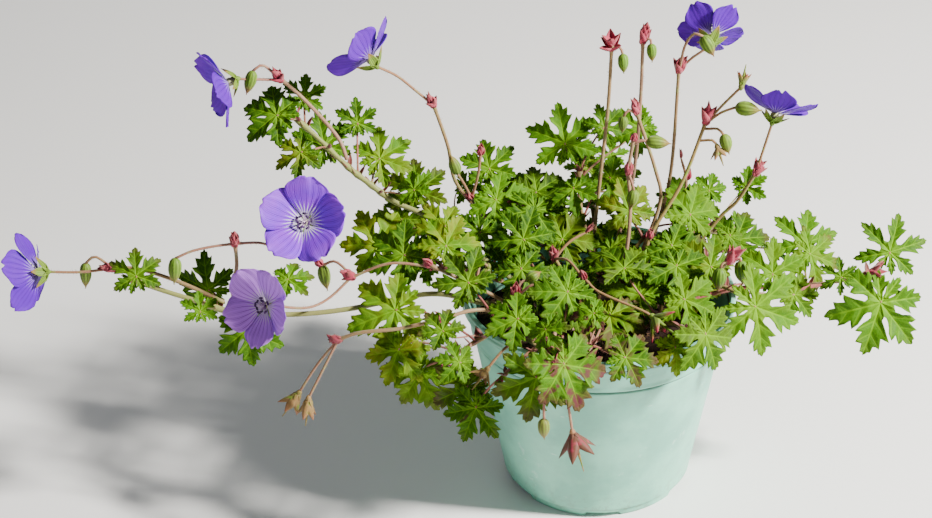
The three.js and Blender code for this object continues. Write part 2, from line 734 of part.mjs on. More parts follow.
function petioleRings(leaf) {
  const curve = petioleCurve(leaf);
  const steps = petioleSteps(curve);
  const across = leaf.axes.up.clone();
  const rings = [];
  for (let k = 1; k <= steps; k += 1) {
    const along = curve.getTangent(k / steps);
    across.addScaledVector(along, -across.dot(along)).normalize();
    const beside = along.clone().cross(across);
    const grow = k < steps ? PETIOLE_RADIUS : PETIOLE_FOOT_RADIUS;
    const corner = (a, b) => curve.getPoint(k / steps)
      .addScaledVector(beside, a * grow)
      .addScaledVector(across, b * grow);
    rings.push([corner(0, 1.2), corner(1, -0.7), corner(-1, -0.7)]);
  }
  return rings;
}

function leafSolid(leaf) {
  return solidOf(plate(leafOutline(leaf), leaf.middle, leaf.axes.up, BLADE_THICKNESS, petioleRings(leaf)));
}

// ---- settling the leaves clear of each other -------------------------------------------------
// Every stem, blade and leaf stalk is sampled as points. A leaf keeps the place that the layout
// gives it where that is clear, and otherwise takes small seeded moves and tilts until it is.

const CLEAR_OF_BLADE = 4.4;
const CLEAR_OF_STEM = 4.0;
const CLEAR_OF_STALK = 3.4;
const OWN_STEM_ZONE = 0.45;
const LOBE_SAMPLES = [[0.3, 0], [0.6, -0.18], [0.6, 0.18], [0.78, 0], [0.98, 0]];
const SAMPLE_STEP = 4;
const POT_SAMPLES = 100;
const POT_SAMPLE_STEP = 6;
const POT_SAMPLE_FLOOR = 60;
const CLEAR_OF_SOIL = 6;
const BURIED = -5;
const WAVE = [-0.16, 0.14];
const SETTLE_REACH = 0.17;
const SETTLE_TILT = 0.42;

const crowd = [];

function addToCrowd(points, owner, isBlade) {
  points.forEach((point) => crowd.push({ point, owner, isBlade }));
}

function runPoints(rings) {
  const points = [rings[0]];
  for (let k = 1; k < rings.length; k += 1) {
    const parts = Math.ceil(rings[k].distanceTo(rings[k - 1]) / SAMPLE_STEP);
    for (let m = 1; m <= parts; m += 1) points.push(rings[k - 1].clone().lerp(rings[k], m / parts));
  }
  return points;
}

function linePoints(points, step) {
  return runPoints(tubeRings(curveThrough(points), step));
}

function addPotToCrowd() {
  const points = [];
  const taper = (WALL_RADIUS_TOP - WALL_RADIUS_BOTTOM) / POT_HEIGHT;
  for (let z = POT_HEIGHT; z > POT_SAMPLE_FLOOR; z -= POT_SAMPLE_STEP) {
    const radius = WALL_RADIUS_TOP - (POT_HEIGHT - z) * taper;
    for (let k = 0; k < POT_SAMPLES; k += 1) {
      const angle = (2 * Math.PI * k) / POT_SAMPLES;
      points.push(new THREE.Vector3(radius * Math.cos(angle), radius * Math.sin(angle), z));
    }
  }
  addToCrowd(points, "pot", false);
}

function leafSamples(leaf) {
  const blade = [leaf.middle.clone()];
  LOBES.forEach((lobe, k) => {
    LOBE_SAMPLES.forEach(([u, v]) => blade.push(bladePoint(leaf, k, u * lobe.length, v)));
  });
  const curve = petioleCurve(leaf);
  const stalk = runPoints(curve.getPoints(petioleSteps(curve))).slice(1, -1);
  return { blade, stalk };
}

// The smallest room round the leaf, less than 0 where something is too near.
function roomAround(leaf, samples) {
  let room = Infinity;
  const test = (point, clearOfBlade, clearOfStem, skipOwner) => {
    const inPot = Math.hypot(point.x, point.y) < WALL_RADIUS_TOP;
    if (inPot && point.z < SOIL_TOP + CLEAR_OF_SOIL) room = Math.min(room, BURIED);
    crowd.forEach((other) => {
      if (skipOwner && other.owner === leaf.stem) return;
      const clear = other.isBlade ? clearOfBlade : clearOfStem;
      room = Math.min(room, other.point.distanceTo(point) - clear);
    });
  };
  samples.blade.forEach((point) => test(point, CLEAR_OF_BLADE, CLEAR_OF_STEM, false));
  samples.stalk.forEach((point, k) => {
    test(point, CLEAR_OF_STEM, CLEAR_OF_STALK, (k + 1) / samples.stalk.length > 1 - OWN_STEM_ZONE);
  });
  return room;
}

// A leaf whose best room is under leastRoom is left out.
function settledLeaf(stem, curve, entry, random, leastRoom) {
  const [place, middle, size, faces, leans, turned] = entry;
  const foot = nearestOn([tubeRings(curve, STEM_STEP)], curve.getPoint(place / (stem.line.length - 1)));
  const wave = LOBES.map(() => WAVE[0] + (WAVE[1] - WAVE[0]) * random());
  let best = null;
  for (let k = 0; k < SETTLE_TRIES; k += 1) {
    const draw = (reach) => reach * Math.min(k, FULL_REACH_TRY) * (2 * random() - 1);
    const leaf = {
      stem: stem.name,
      foot,
      wave,
      size,
      middle: vec(middle).add(new THREE.Vector3(draw(SETTLE_REACH), draw(SETTLE_REACH), draw(SETTLE_REACH))),
      axes: leafAxes(faces + draw(SETTLE_TILT), leans + draw(SETTLE_TILT), turned + draw(SETTLE_TILT)),
    };
    const samples = leafSamples(leaf);
    const room = roomAround(leaf, samples);
    if (!best || room > best.room) best = { room, leaf, samples };
    if (room > 0) break;
  }
  if (best.room < leastRoom) return null;
  addToCrowd(best.samples.blade, stem.name, true);
  addToCrowd(best.samples.stalk, stem.name, false);
  return best.leaf;
}

// Leaves spread along a fill stem, to its two sides in turn.
function fillLeaves([direction, reach, height, count], random) {
  const rise = height - SOIL_TOP;
  const leaves = [];
  for (let k = 0; k < count; k += 1) {
    const share = FILL_FIRST_LEAF + (FILL_LEAF_SPAN * k) / (count - 1);
    const onStem = Math.min(1, share);
    const side = k % 2 ? 1 : -1;
    const bend = rad(direction) + side * (0.22 + 0.16 * random());
    const far = FILL_FOOT_RADIUS + share * (reach + 12 - FILL_FOOT_RADIUS) + 8 * random();
    const lift = SOIL_TOP + rise * (0.75 + 0.5 * (1 - share)) + 14 * random();
    leaves.push([
      1.9 + 2.1 * onStem,
      [far * Math.cos(bend), far * Math.sin(bend), lift],
      19 + 7 * random(),
      direction + side * 30 * random(),
      18 + 42 * onStem * random(),
      side * (15 + 45 * random()),
    ]);
  }
  return leaves;
}

function fillStem(entry, index, random) {
  const [direction, reach, height] = entry;
  const at = (share, z) => {
    const r = FILL_FOOT_RADIUS + share * (reach - FILL_FOOT_RADIUS);
    return [r * Math.cos(rad(direction)), r * Math.sin(rad(direction)), z];
  };
  const line = [at(0, HOLE_FLOOR), at(0, SOIL_TOP + 4), at(0.35, SOIL_TOP + 0.75 * (height - SOIL_TOP)),
    at(0.7, height), at(1, height - 6)];
  const leaves = fillLeaves(entry, random);
  return { name: `stem_back_${index + 1}`, isFill: true, radius: STEM_RADIUS, line, leaves };
}

// ---- the pieces of a flower stalk ------------------------------------------------------------

// A closed four-sided body through rings of given middle and radius.
function loft(rings) {
  const positions = [];
  const triangles = [];
  const across = new THREE.Vector3(0.31, 0.47, 0.83);
  rings.forEach(([middle, radius], k) => {
    const before = rings[Math.max(0, k - 1)][0];
    const after = rings[Math.min(rings.length - 1, k + 1)][0];
    const along = after.clone().sub(before).normalize();
    across.addScaledVector(along, -across.dot(along)).normalize();
    const beside = along.clone().cross(across);
    for (let m = 0; m < 4; m += 1) {
      const corner = middle.clone()
        .addScaledVector(across, radius * Math.cos((Math.PI * m) / 2))
        .addScaledVector(beside, radius * Math.sin((Math.PI * m) / 2));
      positions.push(corner.x, corner.y, corner.z);
    }
    if (!k) return;
    for (let m = 0; m < 4; m += 1) {
      const [p, q] = [4 * (k - 1) + m, 4 * (k - 1) + ((m + 1) % 4)];
      triangles.push(p, q, q + 4, p, q + 4, p + 4);
    }
  });
  const last = positions.length / 3 - 4;
  triangles.push(2, 1, 0, 3, 2, 0, last, last + 1, last + 2, last, last + 2, last + 3);
  return solidOf(meshOf(positions, triangles));
}

// A pedicel through its rings, with the bud at its end where it has one.
function pedicelSolid(places, bud) {
  const rings = places.map((p, k) => [p, k ? PEDICEL_RADIUS : PEDICEL_FOOT_RADIUS]);
  if (bud) {
    const [, to, radius] = bud;
    const from = places[places.length - 1];
    BUD_SHAPE.forEach(([share, wide]) => rings.push([from.clone().lerp(vec(to), share), wide * radius]));
  }
  return loft(rings);
}

// A star of pointed leaflets with raised middles. closing bends them forward: 0 is flat and 1.5
// a closed cup.
function starSolid(points, waist, [middle, direction, radius, closing]) {
  const positions = [0, 0, CALYX_DEPTH, 0, 0, -CALYX_DEPTH];
  const triangles = [];
  const corners = 2 * points;
  const corner = (k) => 2 + (k % corners);
  for (let k = 0; k < corners; k += 1) {
    const reach = k % 2 ? waist : 1;
    const angle = (2 * Math.PI * k) / corners;
    const rise = closing * reach * 0.9;
    const out = radius * reach * Math.cos(rise);
    positions.push(out * Math.cos(angle), out * Math.sin(angle), radius * reach * Math.sin(rise));
    triangles.push(0, corner(k), corner(k + 1));
    if (k % 2) triangles.push(corner(k), corner(k + 2), corner(k + 1), 1, corner(k + 2), corner(k));
  }
  return solidOf(placed(meshOf(positions, triangles), middle, direction));
}

// The first line is the stalk, and the others are the pedicels that leave it. Bracts stand round
// the joints as three pointed scales.
function stalkSolid(stalk) {
  const [main, ...pedicels] = stalk.lines;
  const solids = [stemTube(main, STALK_RADIUS, STALK_TIP_SHARE, STALK_SIDES, STALK_STEP)];
  const chains = [tubeRings(curveThrough(main), STALK_STEP)];
  pedicels.forEach((line) => {
    const end = line[line.length - 1];
    const bud = stalk.buds.find(([from]) => from.every((value, k) => Math.abs(value - end[k]) < 1.5));
    const places = tubeRings(curveThrough(line), PEDICEL_STEP);
    places[0] = nearestOn(chains, places[0]);
    chains.push(places);
    solids.push(pedicelSolid(places, bud));
  });
  stalk.bracts.forEach(([x, y, z, length], k) => {
    const joint = nearestOn(chains, vec([x, y, z])).toArray();
    const direction = [0.5 * Math.cos(x + k), 0.5 * Math.sin(x + k), 1];
    solids.push(starSolid(BRACTS, BRACT_WAIST, [joint, direction, length, BRACT_CLOSING]));
  });
  stalk.calyxes.forEach((calyx) => solids.push(starSolid(SEPALS, SEPAL_WAIST, calyx)));
  return joined(solids);
}

// ---- blooms ----------------------------------------------------------------------------------

const PETALS = 5;
const HUB_RADIUS = 4.2;
const HUB_FORWARD = 1.2;
const HUB_TURN = 54;
const PETAL_OUTLINE = [[0.06, -0.03], [0.62, -0.49], [0.97, -0.27], [0.97, 0.27], [0.62, 0.49],
  [0.06, 0.03]];
const PETAL_TWIST = 0.13;
const PETAL_ROLL = 0.12;
const HUB_FRONT = 1;
const STAMEN_LENGTH = 8;
const STAMEN_CLOSING = 1.1;

function petalPoint(radius, u, v, turn) {
  const forward = radius * (PETAL_CUP * u ** 1.25 + PETAL_TWIST * v - PETAL_ROLL * v * v);
  const x = radius * u;
  const y = radius * v;
  return new THREE.Vector3(
    x * Math.cos(turn) - y * Math.sin(turn),
    x * Math.sin(turn) + y * Math.cos(turn),
    HUB_FORWARD + forward,
  );
}

// The middle of a bloom's throat, a neck's length in front of the calyx.
function throat([, end, direction]) {
  return vec(direction).normalize().multiplyScalar(NECK).add(vec(end)).toArray();
}

function bloomSolid(bloom) {
  const [, , direction, radius, turned] = bloom;
  const front = HUB_FORWARD + HUB_FRONT;
  const long = NECK - CALYX_DEPTH - GAP + front;
  const hub = new THREE.CylinderGeometry(HUB_RADIUS, HUB_RADIUS * 0.5, long, PETALS);
  hub.rotateX(Math.PI / 2).rotateZ(rad(turned + HUB_TURN)).translate(0, 0, front - long / 2);
  const solids = [solidOf(hub)];
  for (let k = 0; k < PETALS; k += 1) {
    const turn = rad(turned) + (2 * Math.PI * k) / PETALS;
    const outline = PETAL_OUTLINE.map(([u, v]) => petalPoint(radius, u, v, turn));
    const centre = petalPoint(radius, 0.6, 0, turn);
    solids.push(solidOf(plate(outline, centre, new THREE.Vector3(0, 0, 1), PETAL_THICKNESS)));
  }
  return geometryOf(solidOf(placed(geometryOf(joined(solids)), throat(bloom), direction)));
}

// The stamens, spread round the style like a small star.
function heartSolid(bloom) {
  const direction = bloom[2];
  const ahead = HUB_FORWARD + HUB_FRONT + CALYX_DEPTH + GAP;
  const forward = vec(direction).normalize().multiplyScalar(ahead);
  const foot = vec(throat(bloom)).add(forward).toArray();
  return geometryOf(starSolid(SEPALS, SEPAL_WAIST, [foot, direction, STAMEN_LENGTH, STAMEN_CLOSING]));
}

// ---- pot and soil ----------------------------------------------------------------------------

function wallRadius(z) {
  const share = (z - FOOT_HEIGHT - 3) / (POT_HEIGHT - FOOT_HEIGHT - 3);
  return WALL_RADIUS_BOTTOM + (WALL_RADIUS_TOP - WALL_RADIUS_BOTTOM) * share;
}

function potSolid() {
  const stepZ = POT_HEIGHT - STEP_DEPTH;
  const profile = [
    [0, 0], [CENTRE_PAD_RADIUS, 0], [CENTRE_PAD_RADIUS, FLOOR_LIFT], [FOOT_RADIUS - FOOT_WIDTH, FLOOR_LIFT],
    [FOOT_RADIUS - FOOT_WIDTH, 0], [FOOT_RADIUS, 0], [FOOT_RADIUS + 0.8, FOOT_HEIGHT - 1],
    [WALL_RADIUS_BOTTOM, FOOT_HEIGHT + 4], [wallRadius(stepZ) - 0.6, stepZ - 1],
    [wallRadius(stepZ) + 1, stepZ + 1], [RIM_RADIUS - 1.7, POT_HEIGHT - LIP_HEIGHT - 1],
    [RIM_RADIUS, POT_HEIGHT - LIP_HEIGHT], [RIM_RADIUS - 0.4, POT_HEIGHT],
    [RIM_RADIUS - 3.8, POT_HEIGHT], [wallRadius(stepZ) - WALL, stepZ],
    [WALL_RADIUS_BOTTOM - WALL, FOOT_HEIGHT + 4], [FOOT_RADIUS - 3, FOOT_HEIGHT], [0, FOOT_HEIGHT],
  ].map(([r, z]) => new THREE.Vector2(r, z));
  const body = new THREE.LatheGeometry(profile, POT_SIDES).rotateX(Math.PI / 2);
  const cuts = [];
  for (let k = 0; k < DRAIN_HOLES; k += 1) {
    const angle = (2 * Math.PI * (k + 0.5)) / DRAIN_HOLES;
    const hole = new THREE.CylinderGeometry(DRAIN_HOLE_RADIUS, DRAIN_HOLE_RADIUS, 30, 6);
    cuts.push(solidOf(hole.rotateX(Math.PI / 2)
      .translate(DRAIN_RING_RADIUS * Math.cos(angle), DRAIN_RING_RADIUS * Math.sin(angle), 0)));
  }
  for (let k = 0; k < FOOT_NOTCHES; k += 1) {
    const angle = -Math.PI / 2 + (2 * Math.PI * k) / FOOT_NOTCHES;
    const notch = new THREE.BoxGeometry(4 * FOOT_WIDTH, FOOT_NOTCH_WIDTH, 2 * FOOT_NOTCH_HEIGHT);
    cuts.push(solidOf(notch.translate(FOOT_RADIUS, 0, 0).rotateZ(angle)));
  }
  return geometryOf(cuts.reduce((pot, cut) => pot.subtract(cut), solidOf(body)));
}

function soilRelief(r, angle) {
  const waves = Math.sin(3 * angle + 0.06 * r) + Math.sin(5 * angle - 0.11 * r + 2);
  return SOIL_RELIEF * (0.5 * waves - 0.8 * (r / WALL_RADIUS_TOP) ** 4);
}

function soilSolid(holes) {
  const inner = (z) => wallRadius(z) - WALL - GAP;
  const profile = [[0, FOOT_HEIGHT + GAP], [FOOT_RADIUS - 4, FOOT_HEIGHT + GAP],
    [inner(FOOT_HEIGHT + 6), FOOT_HEIGHT + 6], [inner(SOIL_TOP) - 1.2, SOIL_TOP - 2],
    [52, SOIL_TOP], [0, SOIL_TOP]];
  const body = new THREE.LatheGeometry(profile.map(([r, z]) => new THREE.Vector2(r, z)), SOIL_SIDES);
  body.rotateX(Math.PI / 2);
  const place = body.attributes.position;
  for (let i = 0; i < place.count; i += 1) {
    if (place.getZ(i) < SOIL_TOP - 3) continue;
    const r = Math.hypot(place.getX(i), place.getY(i));
    const angle = r < 1 ? 0 : Math.atan2(place.getY(i), place.getX(i));
    place.setZ(i, place.getZ(i) + soilRelief(r, angle));
  }
  return geometryOf(holes.reduce((soil, hole) => soil.subtract(hole), solidOf(body)));
}

// The hole that a stem stands in: the stem itself, a little thicker and lower.
function stemHole(line, radius, sides, step) {
  const ease = HOLE_EASE / Math.cos(Math.PI / sides);
  return stemTube(line, radius + ease, 1, sides, step).translate([0, 0, -GAP]);
}

// ---- assembly --------------------------------------------------------------------------------

const group = new THREE.Group();

function addPiece(name, geometry, colour, roughness) {
  const material = new THREE.MeshStandardMaterial({ color: colour, roughness, metalness: 0 });
  const mesh = new THREE.Mesh(geometry, material);
  mesh.name = name;
  group.add(mesh);
}

const fillRandom = seededRandom(FILL_SEED);
const leafRandom = seededRandom(LEAF_SEED);
const fillStems = FILL_STEMS.map((entry, index) => fillStem(entry, index, fillRandom));
const stems = [...LEAFY_STEMS, ...fillStems];

addPotToCrowd();
stems.forEach((stem) => addToCrowd(linePoints(stem.line, STEM_STEP), stem.name, false));
FLOWER_STALKS.forEach((stalk) => {
  stalk.lines.forEach((line, k) => {
    addToCrowd(linePoints(line, k ? PEDICEL_STEP : STALK_STEP), stalk.name, false);
  });
  stalk.buds.forEach(([from, to]) => addToCrowd(runPoints([vec(from), vec(to)]), stalk.name, true));
  stalk.calyxes.forEach(([middle]) => addToCrowd([vec(middle)], stalk.name, true));
});
BLOOMS.forEach((bloom) => {
  const [name, , direction, radius] = bloom;
  const turn = new THREE.Quaternion().setFromUnitVectors(
    new THREE.Vector3(0, 0, 1), vec(direction).normalize());
  const points = [];
  for (let k = 0; k < 10; k += 1) {
    [0.35, 0.7, 1].forEach((share) => {
      points.push(petalPoint(radius, share, 0, (Math.PI * k) / 5).applyQuaternion(turn).add(vec(throat(bloom))));
    });
  }
  addToCrowd(points, name, true);
});

stems.forEach((stem) => {
  const curve = curveThrough(stem.line);
  const leastRoom = stem.isFill ? 0 : -Infinity;
  stem.settled = stem.leaves.map((entry) => settledLeaf(stem, curve, entry, leafRandom, leastRoom));
});

const holes = stems.map((stem) => stemHole(stem.line, stem.radius, STEM_SIDES, STEM_STEP));
FLOWER_STALKS.forEach((stalk) => {
  const line = stalk.lines[0];
  if (line[0][2] === HOLE_FLOOR) holes.push(stemHole(line, STALK_RADIUS, STALK_SIDES, STALK_STEP));
});

addPiece("pot", potSolid(), COLOURS.pot, 0.45);
addPiece("soil", soilSolid(holes), COLOURS.soil, 0.95);

stems.forEach((stem) => {
  const tube = stemTube(stem.line, stem.radius, STEM_TIP_SHARE, STEM_SIDES, STEM_STEP);
  const leaves = stem.settled.filter((leaf) => leaf).map(leafSolid);
  addPiece(stem.name, geometryOf(joined([tube, ...leaves])), COLOURS.leaf, 0.6);
});

FLOWER_STALKS.forEach((stalk) => {
  addPiece(stalk.name, geometryOf(stalkSolid(stalk)), COLOURS.stalk, 0.6);
});

BLOOMS.forEach((bloom) => {
  addPiece(`bloom_${bloom[0]}`, bloomSolid(bloom), COLOURS.petal, 0.5);
  addPiece(`heart_${bloom[0]}`, heartSolid(bloom), COLOURS.heart, 0.5);
});

export default group;
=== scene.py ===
# Hardy geranium in a nursery pot: a pale pot of peat, leafy stems, flower stalks and open blooms.
# The layout is in millimetres, with +Z up and the origin in the middle of the pot's base.

from math import ceil, cos, inf, pi, radians, sin, sqrt, tau

import bpy
import numpy as np
from bpy.props import FloatProperty, FloatVectorProperty, IntProperty, PointerProperty
from mathutils import Matrix, Vector


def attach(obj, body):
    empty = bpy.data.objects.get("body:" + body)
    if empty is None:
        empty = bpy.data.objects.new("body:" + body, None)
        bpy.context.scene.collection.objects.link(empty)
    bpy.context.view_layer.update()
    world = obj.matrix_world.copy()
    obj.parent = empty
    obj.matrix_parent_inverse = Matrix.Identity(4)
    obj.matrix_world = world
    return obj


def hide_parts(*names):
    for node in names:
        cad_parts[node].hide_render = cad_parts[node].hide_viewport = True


bl_info = {
    "name": "Potted hardy geranium",
    "version": (1, 0, 0),
    "blender": (4, 5, 0),
    "location": "3D View > Sidebar > Geranium",
    "description": "Grows a hardy geranium in its nursery pot, with its stage and camera",
    "category": "Add Mesh",
}

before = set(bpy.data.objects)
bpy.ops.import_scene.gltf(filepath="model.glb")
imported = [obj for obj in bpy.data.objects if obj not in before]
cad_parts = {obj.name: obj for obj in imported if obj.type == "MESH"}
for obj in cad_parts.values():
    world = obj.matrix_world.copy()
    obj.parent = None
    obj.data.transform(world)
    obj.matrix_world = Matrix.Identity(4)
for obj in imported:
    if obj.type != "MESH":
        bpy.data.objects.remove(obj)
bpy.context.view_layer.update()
MM = 0.001

# ---- sizes shared with the frame ----

POT_HEIGHT = 145
RIM_RADIUS = 94
WALL_RADIUS_TOP = 91.4
WALL_RADIUS_BOTTOM = 66.5
FOOT_RADIUS = 63.5
FOOT_HEIGHT = 6
FOOT_WIDTH = 6
FLOOR_LIFT = 4
WALL = 2
LIP_HEIGHT = 6
STEP_DEPTH = 26
DRAIN_HOLES = 6
DRAIN_HOLE_RADIUS = 5
DRAIN_RING_RADIUS = 46
FOOT_NOTCHES = 6
FOOT_NOTCH_WIDTH = 24
FOOT_NOTCH_HEIGHT = 3
CENTRE_PAD_RADIUS = 12
SOIL_TOP = 118
SOIL_RELIEF = 1.6
GAP = 0.4
HOLE_FLOOR = 104

STEM_RADIUS = 1.35
RUNNER_RADIUS = 2.0
STEM_TIP_SHARE = 0.8
STEM_STEP = 19
STALK_RADIUS = 1.4
STALK_TIP_SHARE = 0.85
STALK_STEP = 28
PEDICEL_RADIUS = 0.95
PEDICEL_STEP = 13

# The finishes of the green pieces, by their places in the pieces' lists of materials.
BLADE, STEM, SCALE, BUD = 0, 1, 2, 3

# ---- the plant's layout ----


def from_peat(x, y, *way):
    """The line of a stem that stands upright in its hole in the peat, and then goes its way."""
    return [(x, y, HOLE_FLOOR), (x, y, SOIL_TOP + 4), *way]


# A leaf: the place on its stem's line in points, the middle of the blade, the length of its longest
# lobe, the compass direction that it faces, how far it leans from level that way, and how far its
# tip is turned from straight downhill. Looks: the stem's radius, whether it only fills the back, how
# many late leaves it may have, how slim the lobes can be, how old and how red the leaves are, how
# pink the stem is, and the number, length and width of the leaflets at its growing end.

def leafy_stem(name, line, *leaves, **looks):
    """A leafy stem from its foot to its tip, with its leaves and any looks that aren't the usual."""
    return {"name": "stem_" + name, "line": line, "leaves": leaves, "radius": STEM_RADIUS,
            "fill": False, "late": 0, "slim": 0.8, "age": 0, "red": 0, "flush": 0.5,
            "shoot": (3, 6.5, 1.5), **looks}


LEAFY_STEMS = [
    leafy_stem("left_runner", from_peat(-26, -8, (-48, -16, 140), (-78, -26, 152), (-114, -32, 164),
        (-167, -40, 159), (-208, -42, 157), (-247, -42, 161), (-265, -40, 167), (-288, -38, 175),
        (-308, -37, 183)),
        (9.9, (-304, -46, 192), 21, -90, 50, 185), (7.3, (-252, -34, 180), 25, -120, 50, -135),
        (6.2, (-236, -52, 152), 27, -90, 60, 8), radius=RUNNER_RADIUS, late=2, flush=0.15),
    leafy_stem("upper_left", from_peat(-34, 6, (-60, 10, 150), (-92, 12, 176), (-115, 16, 196),
        (-137, 20, 206), (-152, 22, 218), (-167, 24, 231), (-185, 26, 251), (-200, 28, 266)),
        (8.9, (-212, 22, 272), 26, -100, 40, -105), (8.6, (-196, 36, 280), 18, -90, 60, 160),
        (7.7, (-196, 12, 249), 20, -100, 45, -60), (7, (-174, 36, 247), 25, -90, 55, 190),
        (6.6, (-163, 50, 250), 18, -80, 55, 170), (6, (-146, 36, 231), 26, -90, 45, 125),
        radius=RUNNER_RADIUS, late=1, flush=0.1, shoot=(5, 9, 2)),
    leafy_stem("left_top", from_peat(-22, 16, (-52, 20, 150), (-84, 22, 170), (-112, 20, 180),
        (-130, 16, 182)),
        (3.4, (-122, 46, 200), 27, -90, 45, 185), (4.3, (-138, 36, 188), 23, -95, 45, 200),
        (5, (-150, 10, 178), 29, -95, 50, -150), (3, (-104, 2, 196), 25, -100, 30, -80), late=3,
        age=0.15),
    leafy_stem("left_middle", from_peat(-24, 2, (-56, -3, 150), (-90, -8, 166), (-112, -12, 172)),
        (4, (-128, -18, 180), 28, -95, 38, -115), (3, (-100, -14, 186), 25, -90, 40, 150),
        (3.6, (-118, 4, 166), 22, -110, 30, -90), (2.3, (-80, 2, 190), 24, -90, 40, -20), late=3,
        slim=0.72),
    leafy_stem("left_front", from_peat(-30, -26, (-50, -44, 144), (-70, -64, 154), (-90, -76, 150),
        (-106, -78, 140)),
        (3.7, (-137, -50, 163), 34, -95, 52, -68), (4.4, (-136, -68, 143), 25, -100, 58, -20),
        (5, (-122, -72, 128), 27, -100, 60, -30), (5, (-92, -90, 130), 26, -100, 58, -60),
        (2.9, (-84, -48, 170), 25, -95, 40, -120), late=2, age=0.05),
    leafy_stem("front_left", from_peat(-18, -34, (-30, -62, 147), (-44, -88, 157), (-60, -101, 152),
        (-68, -105, 145)),
        (4.8, (-86, -104, 121), 24, -95, 60, -20), (3.3, (-51, -112, 145), 30, -92, 62, -8),
        (2.6, (-58, -74, 166), 24, -95, 40, -60), (1.8, (-38, -56, 166), 27, -95, 46, -70), late=1,
        slim=0.88, red=0.15, flush=0.8),
    leafy_stem("front", from_peat(0, -38, (-4, -62, 144), (-10, -84, 155), (-14, -96, 158)),
        (4, (-22, -106, 153), 31, -88, 60, 18), (3.4, (10, -100, 154), 22, -85, 42, 80),
        (2.6, (0, -58, 163), 28, -90, 38, 20), late=1, slim=0.92, red=0.64, flush=0.9),
    leafy_stem("middle_left", from_peat(-14, 24, (-34, 30, 150), (-52, 34, 176), (-60, 40, 192)),
        (4, (-68, 26, 202), 27, -85, 48, 48), (4, (-72, 54, 212), 24, -90, 48, 190),
        (3.4, (-40, 40, 200), 24, -80, 40, 120), (2.6, (-44, 18, 194), 25, -92, 38, -20), late=3),
    leafy_stem("middle", from_peat(-12, 2, (-28, 0, 144), (-44, -4, 160), (-54, -7, 168)),
        (4, (-61, -2, 185), 25, -92, 42, -120), (3.6, (-54, -24, 177), 24, -90, 45, 25),
        (2.6, (-32, -30, 174), 25, -85, 50, 10), (2.4, (-30, 12, 180), 25, -90, 34, 150), late=4),
    leafy_stem("top", from_peat(2, 22, (-4, 34, 158), (-10, 44, 190), (-10, 50, 210)),
        (4, (-20, 54, 230), 29, -90, 55, 188), (4, (6, 60, 238), 18, -85, 50, 135),
        (3.7, (33, 70, 232), 22, -85, 50, -70), (3, (-30, 42, 202), 26, -95, 40, -20),
        (2.6, (14, 46, 208), 25, -85, 42, 60), late=3),
    leafy_stem("middle_right", from_peat(12, 6, (16, 8, 144), (24, 18, 162), (38, 26, 176)),
        (2.3, (30, -14, 168), 27, -90, 42, -30), (3.6, (26, 20, 192), 24, -90, 40, 180),
        (4, (57, 29, 193), 25, -80, 40, 150), (3, (10, 6, 182), 24, -95, 40, -110), late=4, age=0.1),
    leafy_stem("front_right", from_peat(14, -20, (26, -40, 142), (42, -62, 155), (52, -78, 160)),
        (2.2, (24, -36, 162), 27, -90, 44, -100), (3.6, (42, -84, 152), 18, -90, 50, 0),
        (4, (62, -88, 162), 28, -62, 68, 10), (3, (54, -62, 168), 24, -80, 46, 70),
        (2.6, (2, -38, 168), 26, -90, 42, -150), age=0.1),
    leafy_stem("right_upper", from_peat(22, 8, (42, 10, 146), (60, 8, 158), (74, 4, 164)),
        (4, (92, 16, 174), 26, -80, 45, 140), (3.4, (66, 47, 182), 25, -80, 42, -160),
        (4, (75, -16, 170), 25, -90, 42, -140), (2.6, (44, -16, 170), 26, -90, 48, -20),
        (2.1, (48, 2, 176), 25, -84, 38, 50), late=2),
    leafy_stem("right_middle", from_peat(26, -6, (50, -8, 146), (76, -18, 157), (94, -36, 158)),
        (4, (98, -59, 164), 37, -75, 68, 62), (3.4, (116, -14, 162), 26, -85, 50, 170),
        (3.8, (128, -32, 156), 20, -70, 45, 80), late=1, slim=0.72, age=0.12),
    leafy_stem("right_runner", from_peat(28, -18, (50, -22, 142), (78, -20, 152), (100, -16, 153),
        (118, -12, 150), (138, -10, 148), (163, -8, 152), (182, -8, 157)),
        (5.9, (143, 24, 163), 28, -85, 50, 162), (6.1, (144, 4, 166), 25, -75, 48, 62),
        (8, (198, 4, 166), 28, -88, 58, 162), (8, (188, -24, 143), 38, -85, 60, -22),
        radius=RUNNER_RADIUS - 0.2, late=1, slim=0.66, red=0.1, flush=1, shoot=(11, 12.5, 2.8)),
]

# A stalk's lines start in the peat or on a leafy stem, and end under a bloom, a bud or a seed head.
# A bract at a joint: its place and length. A bud: its stalk end, its tip and its radius. A calyx:
# its middle, the direction that it opens to, its radius, and how far its lobes close forward.

def flower_stalk(name, dry, crimson, lines, bracts, buds=(), calyxes=(), opening=0, flushed=None):
    """A flower stalk and what it carries: how dry and how crimson its leaflets are, how far its
    bracts stand open, and the finish, share of size, dryness and redness of unusual calyxes."""
    return {"name": "stalk_" + name, "dry": dry, "crimson": crimson, "lines": lines, "bracts": bracts,
            "buds": buds, "calyxes": calyxes, "opening": opening, "flushed": flushed}


